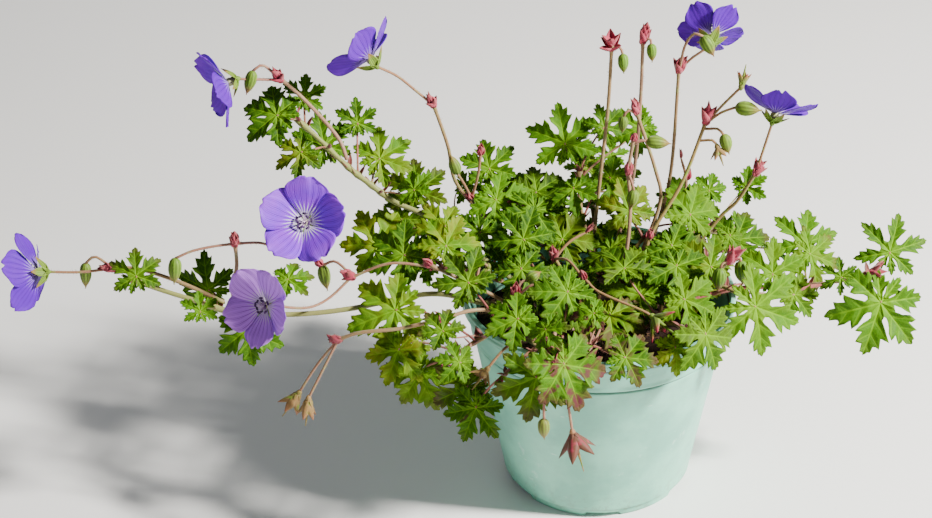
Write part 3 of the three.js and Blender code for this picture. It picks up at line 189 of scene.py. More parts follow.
FLOWER_STALKS = [
    flower_stalk("left_end", 0.3, 0.75, [
        [(-250, -39, 166), (-270, -36, 176), (-290, -33, 184), (-308, -31, 189), (-322, -34, 191)],
        [(-321, -34, 191), (-342, -36, 190), (-363, -38, 192)],
        [(-321, -34, 191), (-332, -32, 199), (-339, -32, 194)]],
        [(-321, -34, 191, 9)], buds=[((-339, -32, 194), (-341, -32, 176), 3.2)],
        calyxes=[((-363, -38, 192), (-0.93, 0.2, -0.15), 9, -0.2)]),
    flower_stalk("left_pair", 0.25, 0.7, [
        [(-243, -38, 164.6), (-244, -36, 176), (-240, -34, 190), (-240, -32, 208)],
        [(-240, -32, 206), (-226, -26, 203), (-213, -18, 196), (-200, -14, 204), (-193, -24, 215)],
        [(-240, -32, 206), (-254, -33, 205), (-268, -35, 203), (-279, -37, 199)]],
        [(-240, -32, 206, 10)], buds=[((-279, -37, 199), (-281, -40, 182), 3.6)],
        calyxes=[((-193, -24, 215), (-0.1, -0.8, 0.6), 10, -0.2)]),
    flower_stalk("left_low", 0.3, 0.8, [
        from_peat(-38, -12, (-60, -27, 150), (-84, -34, 170), (-113, -34, 187)),
        [(-112, -34, 186), (-140, -32, 188), (-166, -32, 178)],
        [(-165, -32, 179), (-180, -40, 168), (-192, -48, 166), (-205, -53, 169), (-216, -57, 174.4)],
        [(-165, -31, 179), (-176, -24, 186), (-185, -20, 181)],
        [(-84, -34, 170), (-80, -24, 182), (-75, -19, 176)]],
        [(-165, -32, 179, 11), (-112, -34, 186, 8), (-185, -20, 181, 8)],
        buds=[((-185, -20, 181), (-183, -21, 163), 3.4)],
        calyxes=[((-216, -57, 174.4), (-0.55, -0.75, 0.35), 10, -0.2),
        ((-75, -19, 176), (-0.2, -0.2, -0.95), 12, 0.9)]),
    flower_stalk("upper_left", 0.2, 0.8, [
        [(-168, 28, 235), (-172, 33, 246), (-181, 34, 260), (-195, 29, 281), (-208, 25, 297)],
        [(-208, 25, 296), (-222, 20, 299), (-235, 16, 301.6)],
        [(-208, 25, 296), (-218, 22, 308), (-225, 20, 305)]],
        [(-208, 25, 296, 11)], buds=[((-225, 20, 305), (-230, 18, 290), 3.2)],
        calyxes=[((-235, 16, 301.6), (-0.9, -0.35, -0.2), 9, -0.2)]),
    flower_stalk("top_left", 0.3, 0.7, [
        from_peat(-28, 28, (-58, 44, 160), (-82, 46, 186), (-96, 42, 210), (-100, 38, 238),
            (-109, 40, 269)),
        [(-109, 40, 268), (-120, 39, 279), (-132, 35, 292), (-145, 27, 303)],
        [(-82, 46, 185), (-84, 32, 198), (-89, 27, 213), (-94, 26, 223)],
        [(-85, 30, 200), (-80, 30, 220), (-78, 31, 235)]],
        [(-109, 40, 268, 10), (-85, 30, 201, 8), (-78, 31, 234, 8)],
        buds=[((-94, 26, 223), (-98, 26, 237), 3.2)],
        calyxes=[((-145, 27, 303), (-0.65, 0.45, 0.6), 10, -0.2)]),
    flower_stalk("seed_left", 0.95, 0.7, [
        from_peat(-46, -24, (-62, -40, 150), (-84, -54, 164), (-108, -63, 163), (-134, -68, 160),
            (-160, -67, 157), (-175, -64, 150)),
        [(-174, -64, 151), (-189, -61, 130), (-203, -60, 107)],
        [(-174, -64, 151), (-185, -67, 130), (-196, -70, 109)]],
        [(-174, -64, 151, 9), (-106, -62, 163, 9)],
        calyxes=[((-203, -60, 107), (-0.55, 0, -0.83), 15, 1.2),
        ((-196, -70, 109), (-0.15, -0.1, -0.98), 14, 1.3)]),
    flower_stalk("tall_one", 0.1, 0.9, [
        from_peat(-2, 12, (-2, 24, 160), (2, 32, 205), (8, 40, 262), (10, 41, 308)),
        [(10, 41, 304), (15, 39, 307), (17, 38, 302)]],
        [(10, 41, 306, 13)], buds=[((17, 38, 302), (18, 37, 289), 3)], opening=0.45),
    flower_stalk("tall_two", 0.1, 1, [
        from_peat(12, 28, (16, 34, 165), (26, 40, 210), (30, 44, 262), (31, 46, 310)),
        [(31, 46, 306), (35, 43, 311), (36, 42, 307)]],
        [(31, 46, 308, 12)], buds=[((36, 42, 307), (37, 41, 295), 2.8)]),
    flower_stalk("pale", 0.3, 0.6, [
        from_peat(20, 18, (30, 18, 160), (43, 24, 198), (40, 28, 220), (26, 36, 263)),
        [(27, 36, 260), (21, 34, 263), (18, 33, 259)]],
        [(26, 36, 261, 9)], buds=[((18, 33, 259), (17, 32, 248), 2.8)]),
    flower_stalk("middle", 0.3, 0.7, [
        from_peat(2, 4, (10, -4, 150), (18, -4, 176), (21, 4, 206), (20, 12, 228), (23, 14, 251)),
        [(23, 14, 248), (29, 13, 251), (32, 13, 250)],
        [(20, 12, 227), (22, 5, 223), (23, 3, 219)]],
        [(20, 12, 228, 9), (23, 14, 250, 6)], buds=[((32, 13, 250), (47, 11, 249), 3.6),
        ((23, 3, 219), (21, 2, 206), 3.2)]),
    flower_stalk("right_back", 0.2, 0.8, [
        from_peat(30, 30, (42, 40, 165), (52, 44, 210), (56, 50, 285)),
        [(56, 50, 284), (64, 47, 294), (72, 45, 301), (76, 46, 305)],
        [(56, 49, 283), (58, 42, 304), (63, 36, 316), (69, 34, 315)],
        [(46, 41, 182), (58, 38, 192), (62, 37, 207), (57, 37, 228)]],
        [(56, 50, 284, 12), (62, 37, 208, 8)], buds=[((69, 34, 315), (76, 32, 302), 3.6)],
        calyxes=[((76, 46, 305), (0.1, 0.9, 0.3), 9, -0.2)]),
    flower_stalk("right_cluster", 0.3, 0.9, [
        from_peat(34, 4, (33, 4, 150), (34, 7, 178), (57, 20, 215), (73, 30, 256)),
        [(73, 30, 254), (82, 26, 268), (93, 17, 286)],
        [(73, 30, 254), (82, 25, 264), (91, 22, 269)],
        [(72, 29, 250), (80, 25, 252), (84, 24, 248)],
        [(69, 28, 242), (77, 24, 244), (80, 22, 240)]],
        [(73, 30, 255, 15), (34, 7, 179, 8)], buds=[((91, 22, 269), (106, 16, 269), 4),
        ((84, 24, 248), (88, 22, 235), 3.4)], calyxes=[((93, 17, 286), (0.2, 0.3, 0.9), 10, 1.3),
        ((80, 22, 240), (0.3, -0.3, -0.9), 9, 0.9)]),
    flower_stalk("right_bloom", 0.2, 0.7, [
        from_peat(46, 16, (62, 22, 152), (84, 28, 182), (96, 27, 196), (108, 25, 220)),
        [(106, 25, 214), (111, 25, 234), (116, 24, 256)]],
        [(108, 25, 218, 12)], calyxes=[((116, 24, 256), (0.33, 0.45, 0.83), 9, -0.2)]),
    flower_stalk("front", 0.7, 0.9, [
        from_peat(-10, -28, (-21, -58, 150), (-33, -86, 168), (-36, -104, 167)),
        [(-36, -103, 166), (-33, -113, 152), (-28, -120, 134), (-25, -122, 113)],
        [(-36, -103, 166), (-41, -116, 150), (-43, -122, 132), (-43, -123, 124)]],
        [(-36, -103, 166, 12)], buds=[((-43, -123, 124), (-43, -124, 110), 3.2)],
        calyxes=[((-25, -122, 113), (0.25, -0.2, -0.95), 19, 1)], opening=0.4,
        flushed=(SCALE, 1, 1, 1)),
    flower_stalk("pink", 0.5, 0.9, [
        from_peat(0, -12, (-16, -12, 150), (-31, -10, 177)),
        [(-31, -10, 176), (-22, -24, 182), (-12, -40, 176)],
        [(-12, -39, 176.4), (-3, -49, 172), (23, -61, 165), (30, -64, 162)],
        [(-31, -10, 175), (-20, -4, 185), (-6, 2, 190)]],
        [(-31, -10, 176, 9), (-12, -40, 176, 8)], calyxes=[((30, -64, 162), (0.7, -0.5, -0.4), 13, 0.7)],
        flushed=(BUD, 1.3, 0.1, 1.1)),
    flower_stalk("arched", 0.2, 0.7, [
        from_peat(-56, -50, (-59, -46, 148), (-58, -46, 171)),
        [(-58, -46, 169), (-54, -42, 177), (-50, -40, 177)],
        [(-58, -47, 168), (-47, -49, 179), (-38, -48, 176), (-35, -48, 168)]],
        [(-58, -46, 170, 9)], buds=[((-50, -40, 177), (-41, -36, 181), 3.2),
        ((-35, -48, 168), (-34, -48, 152), 3.8)]),
    flower_stalk("right_buds", 0.1, 0.95, [
        from_peat(42, -12, (52, -32, 148), (66, -40, 168), (82, -39, 188)),
        [(82, -39, 187), (78, -42, 188), (76, -43, 184)],
        [(82, -39, 186), (88, -38, 190), (90, -38, 186)]],
        [(82, -39, 187, 13)], buds=[((76, -43, 184), (75, -44, 168), 3.8),
        ((90, -38, 186), (92, -39, 170), 3.8)], opening=0.2),
    flower_stalk("front_seed", 0.9, 0.7, [
        from_peat(-40, -42, (-52, -60, 144), (-61, -78, 153)),
        [(-61, -77, 152.6), (-68, -84, 151), (-78, -91, 142)]],
        [(-61, -78, 153, 8)], calyxes=[((-78, -91, 142), (-0.6, -0.5, -0.6), 11, 0.9)]),
]

# Open blooms: name, the end of their pedicel, the direction that they face, radius and turn, how
# lilac and how deep in colour they are, and how wide their petals are.
BLOOMS = [
    ("upper_left", (-235, 16, 301.6), (-0.9, -0.35, -0.2), 27, 20, 0.1, 0.5, 0.84),
    ("top_left", (-145, 27, 303), (-0.65, 0.45, 0.6), 27, 0, 0.25, 0.45, 0.9),
    ("left_face", (-193, -24, 215), (-0.1, -0.8, 0.6), 29, 6, 0.12, 0, 0.94),
    ("left_low", (-216, -57, 174.4), (-0.55, -0.75, 0.35), 27, 30, 1, 0, 0.9),
    ("left_end", (-363, -38, 192), (-0.93, 0.2, -0.15), 27, 10, 0.1, 0.5, 0.84),
    ("right_back", (76, 46, 305), (0.1, 0.9, 0.3), 23, 14, 0.1, 0.6, 0.82),
    ("right_front", (116, 24, 256), (0.33, 0.45, 0.83), 26, 40, 0.1, 0.65, 0.84),
]
NECK = 5.2

# Leafy stems that fill the back: compass direction, length over ground, height and leaves.
FILL_STEMS = [
    [32, 104, 162, 3],
    [89, 100, 172, 4],
    [119, 100, 162, 3],
]
FILL_FOOT_RADIUS = 44
FILL_FIRST_LEAF = 0.25
FILL_LEAF_SPAN = 0.85

# ---- small tools ----

WORD = 0xFFFFFFFF
SEED_STEP = 0x6D2B79F5
BEND_SAMPLES = 201
ASIDE = np.array([0.31, 0.47, 0.83])


def seeded(seed):
    """A repeatable source of numbers from 0 to 1."""
    state = seed & WORD

    def draw():
        nonlocal state
        state = (state + SEED_STEP) & WORD
        t = ((state ^ (state >> 15)) * (state | 1)) & WORD
        t ^= (t + (((t ^ (t >> 7)) * (t | 61)) & WORD)) & WORD
        return ((t ^ (t >> 14)) & WORD) / (WORD + 1)

    return draw


def unit(v):
    """The direction of v, one long."""
    return v / np.linalg.norm(v)


def around(angle, radius, high):
    """The point at an angle round the z axis, so far out and so high."""
    return [radius * cos(angle), radius * sin(angle), high]


def ring_of(radius, angles, z):
    """The points at many angles round the z axis, so far out and so high."""
    return rows_of(radius * np.cos(angles), radius * np.sin(angles), np.full(len(angles), z))


def rows_of(*columns):
    """Rows of numbers from their columns."""
    return np.stack(columns, -1)


def angles_round(count):
    """Even angles all round, from 0."""
    return tau * np.arange(count) / count


def run_along(points):
    """How far along a line each of its points lies."""
    return np.concatenate([[0], np.cumsum(np.linalg.norm(np.diff(points, axis=0), axis=1))])


def catmull(points, t):
    """Points at places t, from 0 to 1, of a smooth line through all the given points."""
    p = np.asarray(points, float)
    p = np.vstack([2 * p[0] - p[1], p, 2 * p[-1] - p[-2]])
    place = np.asarray(t, float) * (len(points) - 1)
    k = np.clip(np.floor(place).astype(int), 0, len(points) - 2)
    w = (place - k)[:, None]
    a, b, c, d = p[k], p[k + 1], p[k + 2], p[k + 3]
    leave, arrive = 0.5 * (c - a), 0.5 * (d - b)
    return (b + leave * w + (-3 * b + 3 * c - 2 * leave - arrive) * w * w
            + (2 * b - 2 * c + leave + arrive) * w ** 3)


def spaced(points, step):
    """Evenly spaced points on the smooth line, and their places t."""
    t = np.linspace(0, 1, BEND_SAMPLES)
    lengths = run_along(catmull(points, t))
    steps = max(2, int(lengths[-1] / step + 0.5))
    places = np.interp(np.linspace(0, lengths[-1], steps + 1), lengths, t)
    return catmull(points, places), places


def nearest_on(chains, target):
    """The point of some rods that is nearest to a target."""
    best = chains[0][0]
    for rings in chains:
        for a, b in zip(rings[:-1], rings[1:]):
            share = np.clip(np.dot(b - a, target - a) / np.dot(b - a, b - a), 0, 1)
            found = a + (b - a) * share
            if np.linalg.norm(found - target) < np.linalg.norm(best - target):
                best = found
    return best


def turn_to(direction):
    """The matrix that turns the z axis to a direction by the shortest way."""
    return np.array(Vector((0, 0, 1)).rotation_difference(Vector(direction)).to_matrix())


def noise(p, scale, seed=0.0):
    """Smooth waves from about -1 to 1 over points in space."""
    x, y, z = np.moveaxis(p / scale + seed, -1, 0)
    return (np.sin(x * 1.7 + 1.3 * np.sin(y * 1.1 + seed)) + np.sin(y * 1.9 + 1.1 * np.sin(z * 1.3))
            + np.sin(z * 1.6 + 1.2 * np.sin(x * 1.2 + 2.0))) / 3


class Skin:
    """Gathers the faces of one piece, with a drawing place and a tone for each vertex."""

    def __init__(self):
        self.places, self.maps, self.tones = [], [], []
        self.faces = {3: [], 4: []}
        self.finishes = {3: [], 4: []}
        self.count = 0

    def add(self, places, faces, finish=0, uv=None, tone=(0.5, 0, 0, 1)):
        """Takes in places and groups of faces on them, all of one finish."""
        total = len(places)
        self.places.append(places)
        self.maps.append(np.zeros((total, 2)) if uv is None else uv)
        self.tones.append(np.broadcast_to(tone, (total, 4)))
        for corners in faces:
            arity = corners.shape[1]
            self.faces[arity].append(corners + self.count)
            self.finishes[arity].append(np.full(len(corners), finish))
        self.count += total

    def piece(self, name, slot, materials, node, smooth=True):
        """Makes the piece, which stands for a node of the frame."""
        mesh = bpy.data.meshes.new(name)
        groups = [np.concatenate(self.faces[arity]) for arity in (3, 4) if self.faces[arity]]
        sizes = np.concatenate([np.full(len(faces), faces.shape[1]) for faces in groups])
        corners = np.concatenate([faces.ravel() for faces in groups])
        finishes = np.concatenate(self.finishes[3] + self.finishes[4])
        places = np.concatenate(self.places) * MM
        mesh.vertices.add(len(places))
        mesh.vertices.foreach_set("co", places.ravel())
        mesh.loops.add(len(corners))
        mesh.loops.foreach_set("vertex_index", corners.astype(np.int32))
        mesh.polygons.add(len(sizes))
        mesh.polygons.foreach_set("loop_start", (np.cumsum(sizes) - sizes).astype(np.int32))
        mesh.polygons.foreach_set("material_index", finishes.astype(np.int32))
        mesh.polygons.foreach_set("use_smooth", np.full(len(sizes), smooth))
        drawing = np.concatenate(self.maps)[corners].astype(np.float32)
        mesh.uv_layers.new(name="drawing").data.foreach_set("uv", drawing.ravel())
        tones = np.concatenate(self.tones).astype(np.float32)
        mesh.color_attributes.new("tone", "FLOAT_COLOR", "POINT").data.foreach_set("color", tones.ravel())
        mesh.update(calc_edges=True)
        if mesh.validate():
            raise RuntimeError(f"the mesh of {name} had faults")
        for material in materials:
            mesh.materials.append(material)
        piece = bpy.data.objects.new(name, mesh)
        bpy.context.scene.collection.objects.link(piece)
        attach(piece, "root")
        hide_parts(node)
        return piece


def frames_along(points):
    """Directions along, across and beside a line, turning as little as they can."""
    along = np.gradient(points, axis=0)
    along /= np.linalg.norm(along, axis=1)[:, None]
    across = np.empty_like(along)
    held = ASIDE
    for k, direction in enumerate(along):
        held = unit(held - np.dot(held, direction) * direction)
        across[k] = held
    return along, across, np.cross(along, across)


def rod_faces(rows, sides):
    """Quads over rings of points, and fans to the two points that close their ends."""
    i, j = np.meshgrid(np.arange(rows - 1), np.arange(sides), indexing="ij")
    a, b = (i * sides + j).ravel(), (i * sides + (j + 1) % sides).ravel()
    j, total = np.arange(sides), rows * sides
    after = (j + 1) % sides
    fans = [rows_of(np.full(sides, total), after, j),
            rows_of(np.full(sides, total + 1), total - sides + j, total - sides + after)]
    return rows_of(a, b, b + sides, a + sides), np.concatenate(fans)


def grid_quads(rows, columns):
    """Quads over a grid of points."""
    i, j = np.meshgrid(np.arange(rows - 1), np.arange(columns - 1), indexing="ij")
    a = (i * columns + j).ravel()
    return rows_of(a, a + columns, a + columns + 1, a + 1)


def tube(skin, points, radii, sides, finish, tone, ridge=0.0):
    """A closed round rod through points, with rounded ends. ridge lifts every other side."""
    radii = np.broadcast_to(radii, len(points))
    along, across, beside = frames_along(points)
    turns = np.arange(sides)
    angles = angles_round(sides)
    swell = 1 + ridge * np.cos(pi * turns)
    ring = (across[:, None] * (np.cos(angles) * swell)[None, :, None]
            + beside[:, None] * (np.sin(angles) * swell)[None, :, None])
    places = (points[:, None] + ring * radii[:, None, None]).reshape(-1, 3)
    ends = [points[0] - along[0] * radii[0] * 0.5, points[-1] + along[-1] * radii[-1] * 0.5]
    run = run_along(points)
    uv = rows_of(np.repeat(run, sides), np.tile(turns / sides, len(points)))
    uv = np.vstack([uv, [[0, 0], [run[-1], 0]]])
    if np.ndim(tone) == 2:
        tone = np.vstack([np.repeat(tone, sides, axis=0), tone[0], tone[-1]])
    skin.add(np.vstack([places, ends]), rod_faces(len(points), sides), finish, uv, tone)


def shell(skin, grid, thickness, finish, uv, tone, reach, back_shift=0):
    """A thin closed sheet over a grid of points, with each row's reach in its tones.

    back_shift moves the drawing of the sheet's back.
    """
    rows, columns = grid.shape[:2]
    half = grid_normals(grid) * (thickness / 2)[..., None]
    tones = tone * np.ones((rows, columns, 1))
    tones[..., 3] = reach
    total = rows * columns
    upper = grid_quads(rows, columns)
    rim = np.concatenate([
        np.arange(columns), np.arange(2, rows + 1) * columns - 1,
        (rows - 1) * columns + np.arange(columns - 2, -1, -1), np.arange(rows - 2, 0, -1) * columns])
    after = np.roll(rim, -1)
    edge = rows_of(rim, after, after + total, rim + total)
    uv = uv.reshape(-1, 2)
    skin.add(np.vstack([(grid + half).reshape(-1, 3), (grid - half).reshape(-1, 3)]),
             (upper, upper[:, ::-1] + total, edge), finish, np.vstack([uv, uv + [0, back_shift]]),
             np.vstack([tones.reshape(-1, 4)] * 2))


def tones_along(tone, count, part, values):
    """The same tone for each of many points, but for one part of it."""
    tones = np.tile(np.array(tone, float), (count, 1))
    tones[:, part] = values
    return tones


def grid_normals(grid):
    """Unit normals of a grid of points."""
    by_row, by_column = np.gradient(grid, axis=0), np.gradient(grid, axis=1)
    normals = np.cross(by_row, by_column)
    return normals / np.maximum(np.linalg.norm(normals, axis=-1, keepdims=True), 1e-9)


# ---- settling the leaves ----
# The leaves take the same places as in the frame: every stem, blade and leaf stalk is sampled as
# points, and a leaf makes small seeded moves and tilts until it is clear of its neighbours.

LOBES = [(-116, 0.8), (-57, 0.97), (0, 1.0), (57, 0.97), (116, 0.8)]
LOBE_SAMPLES = [[0.3, 0], [0.6, -0.18], [0.6, 0.18], [0.78, 0], [0.98, 0]]
PLEAT = 0.34
DROOP = 0.2
BASE_BACK = 1.0
LONG_PETIOLE = 34
LEAF_SEED = 1907
FILL_SEED = 52
SETTLE_TRIES = 220
FULL_REACH_TRY = 85
CLEAR_OF_BLADE = 4.4
CLEAR_OF_STEM = 4.0
CLEAR_OF_STALK = 3.4
OWN_STEM_ZONE = 0.45
SAMPLE_STEP = 4
POT_SAMPLES = 100
POT_SAMPLE_STEP = 6
POT_SAMPLE_FLOOR = 60
CLEAR_OF_SOIL = 6
BURIED = -5
WAVE = [-0.16, 0.14]
SETTLE_REACH = 0.17
SETTLE_TILT = 0.42


def leaf_axes(faces, leans, turned):
    """A leaf's directions to its tip, to its side and up from its blade."""
    a, t, s = radians(faces), radians(leans), radians(turned)
    downhill = np.array([cos(a) * cos(t), sin(a) * cos(t), -sin(t)])
    up = np.array([cos(a) * sin(t), sin(a) * sin(t), cos(t)])
    tip = downhill * cos(s) + np.cross(up, downhill) * sin(s)
    return np.array([tip, np.cross(up, tip), up])


def petiole_line(leaf, t):
    """Points of the leaf stalk, from the blade's base to the stem."""
    tip, _, up = leaf["axes"]
    start = leaf["middle"] - BASE_BACK * tip
    length = np.linalg.norm(start - leaf["foot"])
    leave = start - 0.25 * length * (tip + up)
    arrive = leaf["foot"] + 0.3 * (start - leaf["foot"]) + [0, 0, 0.12 * length]
    t = t[:, None]
    return ((1 - t) ** 3 * start + 3 * (1 - t) ** 2 * t * leave + 3 * (1 - t) * t * t * arrive
            + t ** 3 * leaf["foot"])


def run_points(rings):
    """Samples along a rod."""
    points = [rings[:1]]
    for a, b in zip(rings[:-1], rings[1:]):
        parts = ceil(np.linalg.norm(b - a) / SAMPLE_STEP)
        points.append(a + (b - a) * (np.arange(1, parts + 1) / parts)[:, None])
    return np.concatenate(points)


def sample_places():
    """Lobe number and place in the blade's plane for each sample, in leaf lengths."""
    rows = []
    for k, (turn, length) in enumerate(LOBES):
        c, s = cos(radians(turn)), sin(radians(turn))
        for share, v in LOBE_SAMPLES:
            u = share * length
            rows.append([k, u, abs(v), u * c - v * s, u * s + v * c])
    return np.array(rows)


BLADE_SAMPLES = sample_places()


def leaf_samples(leaf):
    """Samples of a leaf's blade, and of its leaf stalk."""
    wave = np.array(leaf["wave"])[BLADE_SAMPLES[:, 0].astype(int)]
    u, v = BLADE_SAMPLES[:, 1], BLADE_SAMPLES[:, 2]
    high = PLEAT * v * (1 - 0.5 * u) + (wave - DROOP) * u * u
    flat = rows_of(BLADE_SAMPLES[:, 3], BLADE_SAMPLES[:, 4], high)
    blade = np.vstack([leaf["middle"], leaf["middle"] + leaf["size"] * flat @ leaf["axes"]])
    fine = petiole_line(leaf, np.linspace(0, 1, BEND_SAMPLES))
    long = np.linalg.norm(np.diff(fine, axis=0), axis=1).sum() > LONG_PETIOLE
    steps = 3 if long else 2
    return blade, run_points(petiole_line(leaf, np.arange(steps + 1) / steps))[1:-1]


class Crowd:
    """Everything that a leaf keeps clear of."""

    def __init__(self):
        self.points = np.zeros((0, 3))
        self.owners = np.zeros(0, object)
        self.blades = np.zeros(0, bool)

    def add(self, points, owner, is_blade):
        """Places the samples of a blade, or of a rod, of one owner."""
        self.points = np.vstack([self.points, points])
        self.owners = np.append(self.owners, np.full(len(points), owner, object))
        self.blades = np.append(self.blades, np.full(len(points), is_blade))

    def room(self, stem, blade, stalk):
        """The smallest room round a leaf, less than 0 where something is too near."""
        samples = np.vstack([blade, stalk])
        buried = np.hypot(samples[:, 0], samples[:, 1]) < WALL_RADIUS_TOP
        buried &= samples[:, 2] < SOIL_TOP + CLEAR_OF_SOIL
        room = BURIED if buried.any() else inf
        low, high = samples.min(0) - CLEAR_OF_BLADE, samples.max(0) + CLEAR_OF_BLADE
        near = ((self.points > low) & (self.points < high)).all(1)
        if not near.any():
            return room
        away = np.linalg.norm(samples[:, None] - self.points[near][None], axis=2)
        is_blade = self.blades[near]
        away[:len(blade)] -= np.where(is_blade, CLEAR_OF_BLADE, CLEAR_OF_STEM)
        away[len(blade):] -= np.where(is_blade, CLEAR_OF_STEM, CLEAR_OF_STALK)
        share = np.arange(1, len(stalk) + 1) / max(1, len(stalk))
        skipped = np.concatenate([np.zeros(len(blade), bool), share > 1 - OWN_STEM_ZONE])
        away[np.ix_(skipped, self.owners[near] == stem)] = inf
        return min(room, away.min())


def settled_leaf(crowd, stem, entry, draw, least_room, tries=SETTLE_TRIES):
    """The leaf where it stands clear or has the most room, or None where that isn't enough."""
    place, middle, size, faces, leans, turned = entry
    line = stem["line"]
    rings, _ = spaced(line, STEM_STEP)
    on_line = catmull(line, [place / (len(line) - 1)])[0]
    wave = [WAVE[0] + (WAVE[1] - WAVE[0]) * draw() for _ in LOBES]
    best = None
    for k in range(tries):
        grow = min(k, FULL_REACH_TRY)
        move = [SETTLE_REACH * grow * (2 * draw() - 1) for _ in range(3)]
        tilt = [SETTLE_TILT * grow * (2 * draw() - 1) for _ in range(3)]
        leaf = {
            "stem": stem["name"], "place": place, "foot": nearest_on([rings], on_line), "wave": wave,
            "size": size, "middle": np.array(middle, float) + move,
            "axes": leaf_axes(faces + tilt[0], leans + tilt[1], turned + tilt[2]),
        }
        blade, stalk = leaf_samples(leaf)
        room = crowd.room(stem["name"], blade, stalk)
        if best is None or room > best[0]:
            best = (room, leaf, blade, stalk)
        if room > 0:
            break
    if best[0] < least_room:
        return None
    crowd.add(best[2], stem["name"], True)
    crowd.add(best[3], stem["name"], False)
    return best[1]


def fill_stem(entry, index, draw):
    """A leafy stem at the back, with its leaves to both sides of it."""
    direction, reach, height, count = entry
    heading = radians(direction)
    rise = height - SOIL_TOP
    leaves = []
    for k in range(count):
        share = FILL_FIRST_LEAF + FILL_LEAF_SPAN * k / (count - 1)
        on_stem = min(1, share)
        side = 1 if k % 2 else -1
        bend = heading + side * (0.22 + 0.16 * draw())
        far = FILL_FOOT_RADIUS + share * (reach + 12 - FILL_FOOT_RADIUS) + 8 * draw()
        lift = SOIL_TOP + rise * (0.75 + 0.5 * (1 - share)) + 14 * draw()
        leaves.append([
            1.9 + 2.1 * on_stem, around(bend, far, lift), 19 + 7 * draw(),
            direction + side * 30 * draw(), 18 + 42 * on_stem * draw(), side * (15 + 45 * draw())])

    def at(share, z):
        return around(heading, FILL_FOOT_RADIUS + share * (reach - FILL_FOOT_RADIUS), z)

    line = from_peat(*at(0, 0)[:2], at(0.35, SOIL_TOP + 0.75 * rise), at(0.7, height), at(1, height - 6))
    return leafy_stem(f"back_{index + 1}", line, *leaves, fill=True, late=5)


def petal_middle(radius, u, turn):
    """A place on a petal's middle line, seen from the bloom's throat."""
    return around(turn, radius * u, HUB_FORWARD + radius * PETAL_CUP * u ** 1.25)


def throat(bloom):
    """The middle of a bloom, at the end of its neck."""
    return np.array(bloom[1]) + NECK * unit(np.array(bloom[2]))


def settle_plant():
    """All leafy stems with their settled leaves, and the crowd of everything placed."""
    fill_draw, leaf_draw, crowd = seeded(FILL_SEED), seeded(LEAF_SEED), Crowd()
    stems = LEAFY_STEMS + [fill_stem(entry, k, fill_draw) for k, entry in enumerate(FILL_STEMS)]
    taper = (WALL_RADIUS_TOP - WALL_RADIUS_BOTTOM) / POT_HEIGHT
    angles = angles_round(POT_SAMPLES)
    for z in range(POT_HEIGHT, POT_SAMPLE_FLOOR, -POT_SAMPLE_STEP):
        crowd.add(ring_of(WALL_RADIUS_TOP - (POT_HEIGHT - z) * taper, angles, z), "pot", False)
    for stem in stems:
        crowd.add(run_points(spaced(stem["line"], STEM_STEP)[0]), stem["name"], False)
    for stalk in FLOWER_STALKS:
        for k, line in enumerate(stalk["lines"]):
            rings = spaced(line, PEDICEL_STEP if k else STALK_STEP)[0]
            crowd.add(run_points(rings), stalk["name"], False)
        for start, end, _ in stalk["buds"]:
            crowd.add(run_points(np.array([start, end], float)), stalk["name"], True)
        for calyx in stalk["calyxes"]:
            crowd.add(np.array([calyx[0]], float), stalk["name"], True)
    for bloom in BLOOMS:
        points = [petal_middle(bloom[3], share, pi * k / 5) for k in range(10)
                  for share in (0.35, 0.7, 1)]
        crowd.add(np.array(points) @ turn_to(bloom[2]).T + throat(bloom), bloom[0], True)
    for stem in stems:
        least_room = 0 if stem["fill"] else -inf
        settled = [settled_leaf(crowd, stem, entry, leaf_draw, least_room) for entry in stem["leaves"]]
        stem["settled"] = [leaf for leaf in settled if leaf]
    return stems, crowd


# ---- young leaves ----

YOUNG_SEED = 77
YOUNG_TRIES = 90


def add_young_leaves(stems, crowd):
    """Small late leaves between the settled ones, wherever there is room for them."""
    draw = seeded(YOUNG_SEED)
    for stem in stems:
        stem["young"] = []
        last = len(stem["line"]) - 1
        for _ in range(stem["late"]):
            for attempt in range(YOUNG_TRIES):
                place = (0.35 + 0.6 * draw()) * last
                joint = catmull(stem["line"], [place / last])[0]
                size = (17 - 6 * attempt / YOUNG_TRIES) * (0.85 + 0.3 * draw())
                angle, far = tau * draw(), 12 + 24 * draw()
                entry = [place, joint + around(angle, far, 6 + 18 * draw()), size,
                         -90 + 80 * (draw() - 0.5), 25 + 30 * draw(), 360 * draw()]
                leaf = settled_leaf(crowd, stem, entry, draw, 0, tries=1)
                if leaf:
                    stem["young"].append(leaf)
                    break


# ---- blades ----
# Each lobe: its direction, its length and half width in leaf lengths, and the wave that it takes.
# Along a lobe u runs from the middle of the leaf to its tip, and v across it. Rows run from the
# midrib forwards to the margin, as the side veins do: a row's place on the midrib, its end at the
# margin, and its number among the veins, which is whole where the row follows a vein to a tooth.

FINE_LOBES = [(-158, 0.58, 0.17, 0), (-116, 0.82, 0.27, 0), (-57, 0.98, 0.31, 1), (0, 1.0, 0.32, 2),
              (57, 0.98, 0.31, 3), (116, 0.82, 0.27, 4), (158, 0.58, 0.17, 4)]
LOBE_ROWS = [(0.15, 0.3, 0.36, 0.3), (0.21, 0.37, 0.47, 0.5), (0.26, 0.45, 0.64, 0.72),
             (0.3, 0.53, 0.88, 0.88), (0.35, 0.645, 1.08, 1.0), (0.42, 0.64, 0.78, 1.25),
             (0.47, 0.63, 0.6, 1.5), (0.53, 0.725, 0.7, 1.75), (0.59, 0.835, 0.76, 2.0),
             (0.65, 0.82, 0.5, 2.25), (0.7, 0.81, 0.36, 2.5), (0.77, 0.87, 0.36, 2.75),
             (0.83, 0.94, 0.31, 3.0), (0.88, 0.95, 0.16, 3.5), (0.94, 0.98, 0.08, 3.75)]
ROOT_ROWS = (0.0, 0.35, 0.7, 1.0)
